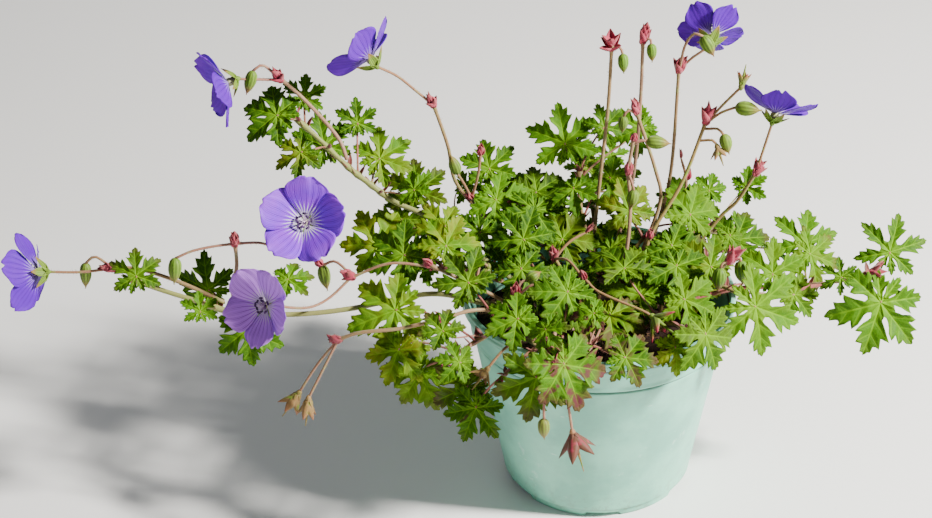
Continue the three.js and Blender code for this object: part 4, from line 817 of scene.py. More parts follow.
ROOT_REACH = 0.11
ROW_SHARES = (-1, -0.78, -0.52, -0.26, 0, 0.26, 0.52, 0.78, 1)
MAIN_SINUS = 0.25
BASAL_SINUS = 0.17
BACK_SINUS = 0.1
MIDRIB_ROUNDING = 0.02
VEIN_DEPTH = 0.012
QUILT = 0.016
EXTRA_FOLD = 0.32
WELD_DIGITS = 5


def lobe_edges():
    """For each lobe: the half angles to its two neighbours, and the depths of the cuts there."""
    turns = [entry[0] for entry in FINE_LOBES]
    last = len(turns) - 1
    edges = []
    for k, turn in enumerate(turns):
        halves = [(turn - turns[k - 1]) % 360 / 2, (turns[(k + 1) % len(turns)] - turn) % 360 / 2]
        cuts = [MAIN_SINUS if half > 25 else BASAL_SINUS for half in halves]
        if k == 0:
            cuts[0] = BACK_SINUS
        if k == last:
            cuts[1] = BACK_SINUS
        edges.append((radians(halves[0]), radians(halves[1]), *cuts))
    return edges


LOBE_EDGES = lobe_edges()


def lobe_grid(lobe, draw, slim):
    """Rows of places (u, v) with their vein number and share of the row, over one lobe."""
    _, length, width, _ = FINE_LOBES[lobe]
    length *= 0.93 + 0.12 * draw()
    width *= slim * (0.93 + 0.14 * draw())
    before, after, cut_before, cut_after = LOBE_EDGES[lobe]
    rows = []
    for share in ROOT_ROWS:
        ends = [(share * cut * cos(half), side * share * cut * sin(half))
                for side, half, cut in ((-1, before, cut_before), (1, after, cut_after))]
        rows.append((share * ROOT_REACH, *ends, share * 0.1))
    for at, end_u, end_v, vein in LOBE_ROWS:
        ends = []
        for side in (-1, 1):
            end_place = (end_u + 0.04 * (draw() - 0.5)) * length
            ends.append((end_place, side * end_v * width * (0.93 + 0.14 * draw())))
        rows.append((at * length, *ends, vein))
    tip = (length, 0.02 * (draw() - 0.5))
    rows.append((length, tip, tip, 4.0))
    places = []
    for at, left, right, vein in rows:
        for share in ROW_SHARES:
            end_u, end_v = right if share > 0 else left
            reach = abs(share)
            bow = 0.03 * sin(pi * reach) * (end_u - at)
            places.append((at + (end_u - at) * reach - bow, end_v * reach, vein, reach))
    return np.array(places), len(rows)


def blade_height(leaf, lobe, u, v):
    """Height over the blade's plane: folded up beside each midrib, drooping and waved to the tips."""
    waves = [leaf["wave"][entry[3]] for entry in FINE_LOBES]
    angle = np.arctan2(v, np.maximum(u, 1e-6))
    after = angle > 0
    half = np.where(after, LOBE_EDGES[lobe][1], LOBE_EDGES[lobe][0])
    other = np.where(after, waves[(lobe + 1) % len(waves)], waves[lobe - 1])
    share = np.clip(np.abs(angle) / half, 0, 1)
    wave = waves[lobe] + (other - waves[lobe]) * 0.5 * share ** 3
    fold = np.sqrt(v * v + MIDRIB_ROUNDING ** 2) - MIDRIB_ROUNDING
    return (PLEAT + EXTRA_FOLD) * fold * (1 - 0.5 * u) + (wave - DROOP) * u * u


def grow_blade(skin, leaf, slim, draw, thickness, tone):
    """A toothed blade of seven lobes, with sunken veins and quilted fields between them."""
    columns = len(ROW_SHARES)
    flats, maps, faces, count = [], [], [], 0
    slim += 0.26 * draw()
    for lobe, (turn, *_) in enumerate(FINE_LOBES):
        places, rows = lobe_grid(lobe, draw, slim)
        u, v, vein, reach = places.T
        grown = np.clip(u / 0.2, 0, 1)
        between = np.sin(pi * np.clip(vein, 0, 3.99)) ** 2
        quilt = QUILT * between * np.sin(pi * np.clip(reach, 0, 1)) ** 0.7
        sunk = VEIN_DEPTH * (1 - between) * (reach < 0.9)
        high = blade_height(leaf, lobe, u, v) + grown * (1 - reach ** 4) * (quilt - sunk)
        curl = 0.05 * (draw() - 0.35)
        high = high - curl * reach ** 3 * grown - 0.07 * draw() * np.clip(u - 0.7, 0, 1)
        c, s = cos(radians(turn)), sin(radians(turn))
        flats.append(rows_of(u * c - v * s, u * s + v * c, high))
        maps.append(rows_of(vein, np.abs(v)))
        quads = grid_quads(rows, columns) + count
        faces += [quads[:, :3], quads[:, [0, 2, 3]]]
        count += rows * columns
    flat, uv, faces = np.vstack(flats), np.vstack(maps), np.vstack(faces)
    _, first, welded = np.unique(
        np.round(flat[:, :2], WELD_DIGITS), axis=0, return_index=True, return_inverse=True)
    flat, uv, faces = flat[first], uv[first], welded.reshape(-1)[faces]
    a, b, c = faces.T
    faces = faces[(a != b) & (b != c) & (c != a)]
    sides = np.vstack([faces[:, [0, 1]], faces[:, [1, 2]], faces[:, [2, 0]]])
    _, which, times = np.unique(np.sort(sides, axis=1), axis=0, return_index=True, return_counts=True)
    rim = sides[which[times == 1]]
    total = len(flat)
    after, before = rim.T
    edge = rows_of(before, after, after + total, before + total)
    middle = leaf["middle"] + leaf["size"] * flat @ leaf["axes"]
    up = leaf["axes"][2] * (thickness / 2)
    tones = tones_along(tone, total, 3, np.hypot(flat[:, 0], flat[:, 1]))
    skin.add(np.vstack([middle + up, middle - up]), (faces, faces[:, ::-1] + total, edge), BLADE,
             np.vstack([uv, uv]), np.vstack([tones, tones]))


# ---- stems, leaf stalks and hairs ----

BLADE_THICKNESS = 0.5
PETIOLE_RADIUS = 0.72
STEM_RING_STEP = 4
STEM_SIDES = 10
JOINT_SWELL = 0.45
JOINT_REACH = 3.0
HAIR_LENGTH = 1.5
HAIR_RADIUS = 0.09
HAIR_SPACING = {"stem": 0.9, "petiole": 1.1, "young": 1.5, "stalk": 0.75, "bud": 0.55}
STIPULE_LENGTH = 8
SEPAL_RIBS = 0.22
SCALE_WIDTH = [(0, 0.5), (0.1, 0.8), (0.28, 1.0), (0.5, 0.92), (0.72, 0.62), (0.88, 0.3), (1.0, 0.06)]
SCALE_THICKNESS = 0.45
PETIOLE_RINGS = 13
PETIOLE_SIDES = 7
GREEN_LOBES = 4
FOLIAGE_SEED = 411


def grow_hairs(skin, points, radii, spacing, draw, finish, tone):
    """Fine standing hairs along a rod, each a three-sided spike with its root in the rod."""
    run = run_along(points)
    along, across, beside = frames_along(points)
    number = int(run[-1] / spacing)
    if not number:
        return
    at, turn, reach = np.array([draw() for _ in range(3 * number)]).reshape(3, number)
    at, turn = at * run[-1], tau * turn
    reach = HAIR_LENGTH * (0.6 + 0.8 * reach)[:, None]

    def follow(values):
        return rows_of(*(np.interp(at, run, column) for column in values.T))

    radius = np.interp(at, run, radii)[:, None]
    a, b, t = follow(across), follow(beside), follow(along)
    out = a * np.cos(turn)[:, None] + b * np.sin(turn)[:, None]
    side = np.cross(t, out)
    root = follow(points) + out * radius * 0.8
    tip = root + out * (radius * 0.2 + reach) + t * reach * 0.3
    corners = [root + HAIR_RADIUS * (t * cos(x) + side * sin(x)) for x in (0, 2.1, 4.2)]
    places = np.stack(corners + [tip], 1).reshape(-1, 3)
    first = 4 * np.arange(number)[:, None]
    faces = np.concatenate([first + f for f in ([0, 1, 3], [1, 2, 3], [2, 0, 3], [0, 2, 1])])
    skin.add(places, (faces,), finish, None, tone)


def grow_scale(skin, root, direction, length, width, cup, finish, tone, spread=(0, 0, 1)):
    """A pointed leaflet such as a bract, a stipule or a sepal, cupped towards its middle line."""
    direction = unit(direction)
    side = np.cross(direction, spread)
    side = unit(side) if np.linalg.norm(side) > 1e-3 else unit(np.cross(direction, (1, 0, 0.3)))
    face = np.cross(side, direction)
    s, wide = np.array(SCALE_WIDTH).T[:, :, None]
    t = np.array([-1, -0.5, 0, 0.5, 1])
    even = np.ones((len(s), len(t)))
    wide = width * wide
    out = length * s * even
    lift = cup * (wide * (t * t) * 0.9 + length * 0.22 * s ** 2)
    grid = (root + out[..., None] * direction + (wide * t)[..., None] * side
            + lift[..., None] * face)
    ribs = SEPAL_RIBS if finish == BUD else 1
    uv = rows_of(s * even, ribs * np.abs(t) * even)
    shell(skin, grid, SCALE_THICKNESS * (1 - 0.6 * s) * even, finish, uv, tone, s)


def joint_swell(places, joints, radii):
    """A rod's radii, swollen at its joints."""
    radii = np.array(radii, float)
    for joint in joints:
        away = np.linalg.norm(places - joint, axis=1)
        radii += radii * JOINT_SWELL * np.exp(-((away / JOINT_REACH) ** 2))
    return radii


def leaf_tone(stem, draw):
    """Tint, age and edge redness of a leaf, and a place for its reach."""
    tint = draw()
    age = max(0, draw() * 1.25 - 0.75) + stem["age"]
    red = max(0, draw() * 1.3 - 0.8) + stem["red"]
    return [tint, min(age, 1), min(red, 1), 1]


def grow_shoot(skin, tip, along, stem, draw):
    """The growing end of a stem: young folded lobes among pointed stipules."""
    count, length, width = stem["shoot"]
    turn = turn_to(along)
    for k in range(count + GREEN_LOBES):
        green = k >= count
        angle = 2.4 * k + 0.5 * draw()
        lean = (0.25 + 0.3 * draw()) if green else (0.4 + 0.8 * draw())
        away = turn @ around(angle, sin(lean), cos(lean))
        if green:
            form = (7 + 4 * draw(), 1.7, 0.9, BLADE, [0.5 + 0.5 * draw(), 0, 0.3, 1])
        else:
            form = (length * (0.8 + 0.4 * draw()), width, 0.7, SCALE, [draw(), 0.15, 0.6 + 0.4 * draw(), 1])
        grow_scale(skin, tip - along, away, *form, along)


def grow_leaf(skin, stem, leaf, joint, young, draw):
    """A leaf on its stalk, with its hairs and its two stipules."""
    petiole = petiole_line(dict(leaf, foot=joint), np.linspace(0, 1, PETIOLE_RINGS))
    petiole = np.vstack([leaf["middle"] - 0.1 * leaf["axes"][2], petiole])
    wide = PETIOLE_RADIUS * (0.75 if young else 1) * np.linspace(0.85, 1.12, len(petiole))
    wide[-2:] *= [1.1, 1.35]
    redness = 0.55 + 0.45 * draw()
    tint = draw()
    rings = len(petiole)
    tones = tones_along([tint, 0, redness, 1], rings, 1, np.linspace(1, 0, rings))
    tube(skin, petiole, wide, PETIOLE_SIDES, STEM, tones)
    spacing = HAIR_SPACING["young" if young else "petiole"]
    grow_hairs(skin, petiole, wide, spacing, draw, STEM, [tint, 1, 0.3, 1])
    tone = leaf_tone(stem, draw)
    grow_blade(skin, leaf, stem["slim"], draw, BLADE_THICKNESS * (0.8 if young else 1), tone)
    away = unit(petiole[-3] - petiole[-1])
    for side in (-1, 1):
        lean = unit(np.cross(away, (0.2, 0.1, 1))) * side
        grow_scale(skin, joint + lean * stem["radius"] * 0.7, lean * 0.7 + away * 0.5 + [0, 0, 0.6],
                   STIPULE_LENGTH * (0.7 + 0.5 * draw()), 1.6, 0.5, SCALE,
                   [draw(), 0.75 + 0.25 * draw(), 0, 1])


def grow_stem(stem, index, materials):
    """A leafy stem with all its leaves, as one piece."""
    draw, skin = seeded(FOLIAGE_SEED + 31 * index), Skin()
    line = stem["line"]
    places, at = spaced(line, STEM_RING_STEP)
    leaves = stem["settled"] + stem["young"]
    joints = [catmull(line, [leaf["place"] / (len(line) - 1)])[0] for leaf in leaves]
    radii = joint_swell(places, joints, stem["radius"] * (1 - (1 - STEM_TIP_SHARE) * at))
    tint = 0.05 + 0.4 * draw()
    tones = tones_along([tint, 0, stem["flush"], 1], len(places), 1, at)
    tube(skin, places, radii, STEM_SIDES, STEM, tones)
    above = places[:, 2] > SOIL_TOP
    grow_hairs(skin, places[above], radii[above], HAIR_SPACING["stem"], draw, STEM, [tint, 1, 0.4, 1])
    for k, (leaf, joint) in enumerate(zip(leaves, joints)):
        grow_leaf(skin, stem, leaf, joint, k >= len(stem["settled"]), draw)
    grow_shoot(skin, places[-1], unit(places[-1] - places[-3]), stem, draw)
    return skin.piece("foliage" + stem["name"][4:], "foliage", materials, stem["name"])


# ---- flower stalks ----

STALK_SEED = 903
BUD_PROFILE = [(0, 0.4), (0.05, 0.66), (0.14, 0.9), (0.28, 1.03), (0.46, 1.04), (0.62, 0.9),
               (0.76, 0.66), (0.86, 0.42), (0.93, 0.22), (0.98, 0.11), (1.06, 0.06)]
BUD_SIDES = 20
BUD_RIDGE = 0.11
BUD_SWELL = 1.08
BEAK_LENGTH = 1.5
CARRIED_NEAR = 6
STALK_SIDES = 9
STALK_RING_STEP = 4
PEDICEL_RING_STEP = 3.2


def grow_bud(skin, start, end, radius, draw, tone):
    """A closed bud: a ridged pointed body of five sepals with a fine tip."""
    start, end = np.array([start, end], float)
    share, wide = np.array(BUD_PROFILE).T
    wide = wide * radius * BUD_SWELL
    points = start + share[:, None] * (end - start)
    points = points + 0.25 * rows_of(noise(points, 7, 1), noise(points, 7, 2), 0 * share)
    tube(skin, points, wide, BUD_SIDES, BUD, tones_along(tone, len(points), 3, share), BUD_RIDGE)
    grow_hairs(skin, points, wide, HAIR_SPACING["bud"], draw, BUD, [*tone[:3], 0.2])


def grow_calyx(skin, calyx, draw, tone, beak, finish):
    """Five pointed sepals round a stalk's end, and the beak of a seed head where there is one."""
    middle, direction, radius, closing = calyx
    turn = turn_to(direction)
    middle = np.array(middle, float)
    forward = turn[:, 2]
    rise, long, wide, cup = (0.66, 1.35, 0.34, -0.4) if closing < 0 else (closing * 0.74, 1.06, 0.25, 0.7)
    for k in range(5):
        angle = tau * k / 5 + 0.15 * (draw() - 0.5)
        away = turn @ around(angle, cos(rise), sin(rise))
        length = radius * long * (0.95 + 0.1 * draw())
        grow_scale(skin, middle + away * 0.5 - forward * 0.3, away, length, radius * wide, cup,
                   finish, tone, forward)
    tube(skin, middle + forward * np.array([-2.2, -1.2, 0, 1.2, 2.0])[:, None],
         [0.9, 1.6, 2.1, 1.8, 1.2], 9, BUD, [*tone[:3], 0.1])
    if beak:
        s = np.linspace(0, 1, 8)
        core = middle + forward * (s * radius * BEAK_LENGTH)[:, None]
        wide = np.interp(s, [0, 0.12, 0.3, 0.8, 1], [1.2, 2.2, 1.3, 0.55, 0.3])
        tube(skin, core, wide, 8, BUD, [tone[0], tone[1] * 0.8, tone[2], 0.3])


def direction_at(rod, joint):
    """The way that a rod runs at a joint."""
    k = int(np.argmin(np.linalg.norm(rod - joint, axis=1)))
    return unit(rod[min(k + 1, len(rod) - 1)] - rod[max(k - 1, 0)])


def grow_rods(skin, stalk, tint, draw):
    """A stalk's rods with their hairs, and leaflets at the ends that carry nothing."""
    joints = [np.array(bract[:3], float) for bract in stalk["bracts"]]
    held = joints + [np.array(thing[0], float) for thing in (*stalk["buds"], *stalk["calyxes"])]
    rods = []
    for k, line in enumerate(stalk["lines"]):
        places, at = spaced(line, PEDICEL_RING_STEP if k else STALK_RING_STEP)
        if k:
            places[0] = nearest_on(rods, places[0])
        rods.append(places)
        radius = PEDICEL_RADIUS * 0.95 if k else STALK_RADIUS * (1 - (1 - STALK_TIP_SHARE) * at)
        radii = joint_swell(places, joints, radius * np.ones(len(places)))
        tones = tones_along([tint, 0, 0.7 if k else 0.55, 1], len(places), 1, at)
        if all(np.linalg.norm(places[-1] - thing) > CARRIED_NEAR for thing in held):
            radii[-3:] *= [0.9, 0.7, 0.4]
            for _ in range(4):
                stray = np.array([draw() - 0.5, draw() - 0.5, draw() - 0.3])
                grow_scale(skin, places[-2], unit(places[-1] - places[-2]) + 0.5 * stray, 6 + 3 * draw(),
                           1.2, 0.8, SCALE, [draw(), 0.4, 0.6, 1])
        tube(skin, places, radii, STALK_SIDES, STEM, tones)
        above = places[:, 2] > SOIL_TOP
        grow_hairs(skin, places[above], radii[above], HAIR_SPACING["stalk"], draw, STEM, [tint, 1, 0.35, 1])
    return rods


def grow_bracts(skin, stalk, rods, draw):
    """Rings of bract leaflets round each joint of a stalk."""
    for k, (x, y, z, length) in enumerate(stalk["bracts"]):
        joint = nearest_on(rods, np.array([x, y, z], float))
        turn = turn_to(direction_at(rods[0], joint) + 0.25 * np.array(around(x + k, 1, 1)))
        for m in range(8 if length > 8 else 4):
            ring = m // 4
            angle = tau * (m + 0.5 * ring) / 4 + 0.5 * (draw() - 0.5)
            rise = (1.05 - 0.35 * ring) * (1 - stalk["opening"]) + 0.4 * draw()
            away = turn @ around(angle, cos(rise), sin(rise))
            grow_scale(skin, joint + away * 0.3 - turn[:, 2] * 3.2 * ring, away,
                       length * (0.75 + 0.35 * draw()), 1.6 + 0.14 * length, 0.9, SCALE,
                       [draw(), stalk["dry"] * draw(), stalk["crimson"] * (0.6 + 0.6 * draw()), 1],
                       turn[:, 2])


def grow_stalk(stalk, index, materials):
    """A flower stalk with all that it carries but its open blooms, as one piece."""
    draw, skin = seeded(STALK_SEED + 17 * index), Skin()
    dry = stalk["dry"]
    grow_bracts(skin, stalk, grow_rods(skin, stalk, draw(), draw), draw)
    for start, end, radius in stalk["buds"]:
        grow_bud(skin, start, end, radius, draw, [draw(), dry * 0.5, 0.25 + 0.3 * draw(), 1])
    for middle, direction, radius, closing in stalk["calyxes"]:
        seed_head = closing > 0.5
        tone = [draw(), 0.15 + 0.7 * seed_head * max(dry, draw()), 0.5 + 0.3 * seed_head * draw(), 1]
        finish, size = BUD, 1
        if stalk["flushed"]:
            finish, size, tone[1], tone[2] = stalk["flushed"]
        grow_calyx(skin, (middle, direction, radius * size, closing), draw, tone, seed_head, finish)
    return skin.piece("flowering" + stalk["name"][5:], "stalks", materials, stalk["name"])


# ---- blooms ----

PETALS = 5
PETAL_CUP = 0.5
PETAL_TWIST = 0.13
PETAL_ROLL = 0.12
HUB_FORWARD = 1.2
HUB_FRONT = 1
BLOOM_SEED = 5
PETAL_START = 0.03
PETAL_WIDTH = [(0.03, 0.035), (0.12, 0.08), (0.25, 0.2), (0.4, 0.36), (0.55, 0.48), (0.68, 0.54),
               (0.8, 0.53), (0.9, 0.45), (0.96, 0.36), (1.0, 0.26)]
PETAL_ROWS = 20
PETAL_COLUMNS = 17
PETAL_THICKNESS = 0.4
BACK_OF_PETAL = 2
STAMENS = 10
STIGMA_LOBES = 5


def grow_petal(skin, radius, wide, turn, draw, place, axes, tone):
    """A notched petal, cupped and twisted, with soft waves and creases."""
    s = np.linspace(0, 1, PETAL_ROWS)[:, None]
    t = np.linspace(-1, 1, PETAL_COLUMNS)[None, :]
    even = np.ones((PETAL_ROWS, PETAL_COLUMNS))
    notch = 0.03 + 0.03 * draw()
    phase = 6 * draw()
    end = 1.0 - 0.1 * np.abs(t) ** 2.6 - notch * np.exp(-(((t - 0.1 * draw()) / 0.16) ** 2))
    end = end + 0.008 * np.sin(9 * t + phase)
    u = PETAL_START + (end - PETAL_START) * s
    v = t * np.interp(s, *np.array(PETAL_WIDTH).T) * wide * (0.97 + 0.06 * draw())
    wave = 0.022 * np.sin(5.5 * t + phase) * s ** 3 + 0.012 * np.sin(11 * t + 2 * phase) * s ** 4
    crease = 0.012 * np.cos(pi * 6 * t) * s * (1 - 0.4 * s)
    forward = PETAL_CUP * u ** 1.25 + PETAL_TWIST * v - PETAL_ROLL * v * v + wave + crease
    forward = forward - 0.05 * draw() * np.maximum(s - 0.75, 0) * 4
    c, d = cos(turn), sin(turn)
    grid = rows_of(radius * (u * c - v * d), radius * (u * d + v * c), HUB_FORWARD + radius * forward)
    uv = rows_of(s * even, (t * even + 1) / 2)
    shell(skin, grid @ axes.T + place, PETAL_THICKNESS * (1.6 - s) * even, 0, uv, tone, s, BACK_OF_PETAL)


def grow_bloom(bloom, index, materials):
    """A bloom of five petals on its receptacle, as one piece."""
    name, _, direction, radius, turned, lilac, deep, wide = bloom
    draw, skin = seeded(BLOOM_SEED + 7 * index), Skin()
    axes, place = turn_to(direction), throat(bloom)
    for k in range(PETALS):
        turn = radians(turned) + tau * k / PETALS
        tone = [draw(), lilac, deep * (0.8 + 0.4 * draw()), 1]
        grow_petal(skin, radius, wide, turn, draw, place, axes, tone)
    depth = np.array([-3.6, -2.6, -1.2, 0.2, 1.4, 2.2])
    tube(skin, place + np.outer(depth, axes[:, 2]), [1.6, 2.0, 2.5, 2.9, 2.6, 1.7], 15, 1,
         [draw(), 0.5, 0.2, 1])
    return skin.piece("petals_" + name, "petals", materials, "bloom_" + name)


def grow_heart(bloom, index, materials):
    """Ten stamens that stand round a style, with their anthers."""
    name, _, direction = bloom[:3]
    draw, skin = seeded(BLOOM_SEED + 700 + index), Skin()
    axes = turn_to(direction)
    foot = throat(bloom) + axes[:, 2] * (HUB_FORWARD + HUB_FRONT + 0.2)
    s = np.linspace(0, 1, 6)
    for k in range(STAMENS):
        angle = tau * (k + 0.3 * draw()) / STAMENS
        spread = (2.6 if k % 2 else 3.9) + 0.5 * draw()
        high = (5.4 if k % 2 else 4.4) + 0.8 * draw()
        rise = rows_of(*around(angle, 0.9 + spread * s ** 1.4, high * s - 1.2 * s * s))
        points = foot + rise @ axes.T
        tube(skin, points, np.linspace(0.34, 0.2, 6), 6, 0, [draw(), 0.5, 0, 1])
        lie = unit(axes @ [-sin(angle), cos(angle), 0.3 * (draw() - 0.5)])
        body = points[-1] + np.outer([-1.5, -1.1, 0, 1.1, 1.5], lie)
        tube(skin, body, [0.3, 0.66, 0.78, 0.66, 0.3], 8, 1, [draw(), 0.5, 0, 1])
    tube(skin, foot + np.outer(-1 + 7 * s, axes[:, 2]), np.linspace(0.95, 0.4, 6), 8, 0, [0.5, 0.8, 0, 1])
    for k in range(STIGMA_LOBES):
        angle = tau * k / STIGMA_LOBES + 0.4
        lobe = rows_of(*around(angle, 1.5 * s, 5.8 + 1.0 * s))
        tube(skin, foot + lobe @ axes.T, 0.2, 5, 0, [0.5, 0.9, 0, 1])
    return skin.piece("stamens_" + name, "stamens", materials, "heart_" + name)


# ---- pot and peat ----

POT_SIDES = 180
DRAIN_SIDES = 24
NOTCH_INSIDE = 50
PEAT_RINGS = 46
PEAT_SIDES = 150
PEAT_SEED = 61
BARK_SHARE = 0.1
CRUMB = [(1, 0, 0), (-1, 0, 0), (0, 1, 0), (0, -1, 0), (0, 0, 1), (0, 0, -1)]
CRUMB_FACES = [(0, 2, 4), (2, 1, 4), (1, 3, 4), (3, 0, 4), (2, 0, 5), (1, 2, 5), (3, 1, 5), (0, 3, 5)]


def wall_radius(z):
    """The outer radius of the pot's wall at a height."""
    share = (z - FOOT_HEIGHT - 3) / (POT_HEIGHT - FOOT_HEIGHT - 3)
    return WALL_RADIUS_BOTTOM + (WALL_RADIUS_TOP - WALL_RADIUS_BOTTOM) * share


def pot_profile(lip_roll):
    """The pot's section, from the middle of its underside round the lip to the middle inside."""
    pad, foot, low, rim = CENTRE_PAD_RADIUS, FOOT_RADIUS, WALL_RADIUS_BOTTOM, RIM_RADIUS
    bed, top, lip, step = FOOT_HEIGHT, POT_HEIGHT, POT_HEIGHT - LIP_HEIGHT, POT_HEIGHT - STEP_DEPTH
    foot_inside, at_step = foot - FOOT_WIDTH, wall_radius(step)
    return [
        (0, 0), (pad - 0.6, 0), (pad, 0.6), (pad, FLOOR_LIFT), (foot_inside, FLOOR_LIFT),
        (foot_inside, 0.5), (foot_inside + 0.5, 0), (foot - 0.7, 0), (foot, 0.7),
        (foot + 0.9, bed - 1.0), (foot + 0.9, bed - 0.2), (low - 0.8, bed + 0.5), (low - 0.2, bed + 1.2),
        (low, bed + 3.4), (low + 0.3, bed + 5),
        *((wall_radius(z) - 0.1, z) for z in range(16, step - 3, 6)),
        (at_step - 0.2, step - 3.2), (at_step - 0.4, step - 2.2), (at_step - 1.3, step - 1.5),
        (at_step - 1.3, step - 0.6), (at_step + 0.9, step - 0.1), (at_step + 1.2, step + 0.5),
        (at_step + 1.2, step + 1.6), (at_step + 0.9, step + 2.6),
        *((wall_radius(z) + 0.9, z) for z in (step + 5, step + 10, step + 15)),
        (rim - 2.6, lip - 2.4), (rim - 2.9, lip - 1.5), (rim - 2.8, lip - 0.9), (rim - 0.9, lip - 0.5),
        (rim - 0.15, lip), (rim, lip + 0.8), (rim - 0.15, lip + 2.6), (rim - 0.7, lip + 3.3),
        (rim - 0.25, lip + 4.2), (rim - 0.3, top - 0.8), (rim - 0.9, top - 0.2), (rim - lip_roll, top),
        (rim - 3.2, top), (rim - 3.8, top - 0.5), (rim - 4.1, top - 1.4), (rim - 4.6, top - 6),
        (wall_radius(step + 6) - WALL, step + 6), (at_step - WALL, step), (low - WALL, bed + 4),
        (foot - 3, bed), (0, bed)]


def mould_pot(settings, materials):
    """The pot, turned from its section, with notches in its foot and drain holes in its floor."""
    profile = pot_profile(settings.lip_roll / MM)
    angles = angles_round(POT_SIDES)
    places = np.stack([ring_of(radius, angles, z) for radius, z in profile[1:-1]])
    half = FOOT_NOTCH_WIDTH / 2 / FOOT_RADIUS
    for k in range(FOOT_NOTCHES):
        middle = -pi / 2 + tau * k / FOOT_NOTCHES
        off = np.abs((angles - middle + pi) % tau - pi)
        raised = FOOT_NOTCH_HEIGHT * np.clip((half - off) / 0.02 + 0.5, 0, 1)
        outside = np.hypot(places[..., 0], places[..., 1]) > NOTCH_INSIDE
        foot = (places[..., 2] < FOOT_NOTCH_HEIGHT) & outside
        places[..., 2] = np.where(foot, np.maximum(places[..., 2], raised), places[..., 2])
    bend = 0.35 * np.sin(2 * angles + 0.7) + 0.2 * np.sin(3 * angles + 2)
    high = np.clip((places[..., 2] - 60) / 85, 0, 1) ** 2
    places[..., :2] *= (1 - (0.5 + bend) * high / RIM_RADIUS * 0.6)[..., None]
    rows = len(places)
    ends = [[0, 0, profile[0][1]], [0, 0, profile[-1][1]]]
    uv = rows_of(np.tile(angles / tau, rows), places[..., 2].ravel() / POT_HEIGHT)
    skin = Skin()
    skin.add(np.vstack([places.reshape(-1, 3), ends]), rod_faces(rows, POT_SIDES), 0,
             np.vstack([uv, [[0, 0], [0, 0]]]))
    pot = skin.piece("pot_moulding", "pot", materials, "pot")
    for k in range(DRAIN_HOLES):
        angle = tau * (k + 0.5) / DRAIN_HOLES
        x, y, _ = around(angle, DRAIN_RING_RADIUS, 0)
        bpy.ops.mesh.primitive_cylinder_add(
            vertices=DRAIN_SIDES, radius=DRAIN_HOLE_RADIUS * MM, depth=20 * MM, location=(x * MM, y * MM, 0))
        cutter = bpy.context.object
        cut = pot.modifiers.new("drain", "BOOLEAN")
        cut.operation, cut.solver, cut.object = "DIFFERENCE", "EXACT", cutter
        cut_pot = pot.evaluated_get(bpy.context.evaluated_depsgraph_get())
        shaped = bpy.data.meshes.new_from_object(cut_pot)
        pot.modifiers.clear()
        pot.data = shaped
        bpy.data.objects.remove(cutter)
    pot.data.name = "pot_moulding"
    return pot


def soil_surface(x, y):
    """The height of the peat: low waves, sunk at the wall, with lumps."""
    r, angle = np.hypot(x, y), np.arctan2(y, x)
    waves = np.sin(3 * angle + 0.06 * r) + np.sin(5 * angle - 0.11 * r + 2)
    relief = SOIL_RELIEF * (0.5 * waves - 0.8 * (r / WALL_RADIUS_TOP) ** 4)
    p = rows_of(x, y, 0 * x)
    lumps = 0.7 * noise(p, 9, 3.1) + 0.45 * noise(p, 3.7, 8.2) + 0.25 * noise(p, 1.7, 5.5)
    return SOIL_TOP + relief + lumps


def spread_peat(settings, materials):
    """The peat that fills the pot, with crumbs and bark bits on it."""
    draw = seeded(PEAT_SEED)
    inner = wall_radius(SOIL_TOP) - WALL - GAP
    skin = Skin()
    reach = (inner - 0.6) * np.linspace(0, 1, PEAT_RINGS + 1)[1:]
    angles = angles_round(PEAT_SIDES)
    x, y = np.outer(reach, np.cos(angles)), np.outer(reach, np.sin(angles))
    top = rows_of(x, y, soil_surface(x, y))[::-1]
    low = wall_radius(FOOT_HEIGHT + 6) - WALL - GAP
    side = np.stack([ring_of(r, angles, z) for r, z in (
        (FOOT_RADIUS - 4, FOOT_HEIGHT + GAP), (low, FOOT_HEIGHT + 6), (inner - 0.3, SOIL_TOP - 4))])
    rows = np.concatenate([side, top])
    ends = [[0, 0, FOOT_HEIGHT + GAP], [0, 0, float(soil_surface(np.array(0.0), np.array(0.0)))]]
    skin.add(np.vstack([rows.reshape(-1, 3), ends]), rod_faces(len(rows), PEAT_SIDES))
    crumb, faces = np.array(CRUMB, float), np.array(CRUMB_FACES)
    for _ in range(settings.crumbs):
        r, angle = (inner - 2.4) * sqrt(draw()), tau * draw()
        px, py, _ = around(angle, r, 0)
        bark = draw() < BARK_SHARE
        if bark:
            size = np.array([2.6 + 3.5 * draw(), 0.9 + 0.8 * draw(), 0.6 + 0.5 * draw()])
        else:
            size = (0.5 + 1.1 * draw() ** 2) * np.array([1, 0.8 + 0.4 * draw(), 0.6 + 0.4 * draw()])
        spin, tip = Matrix.Rotation(6.3 * draw(), 3, "Z"), Matrix.Rotation(0.7 * (draw() - 0.5), 3, "X")
        shape = crumb * size * (0.8 + 0.4 * np.array([[draw()] for _ in crumb]))
        z = float(soil_surface(np.array(px), np.array(py))) + 0.15 * size[2]
        skin.add(shape @ np.array(spin @ tip).T + [px, py, z], (faces,), 1 if bark else 0, None,
                 [draw(), draw(), 0, 1])
    return skin.piece("peat_surface", "peat", materials, "soil", smooth=False)


# ---- finishes ----


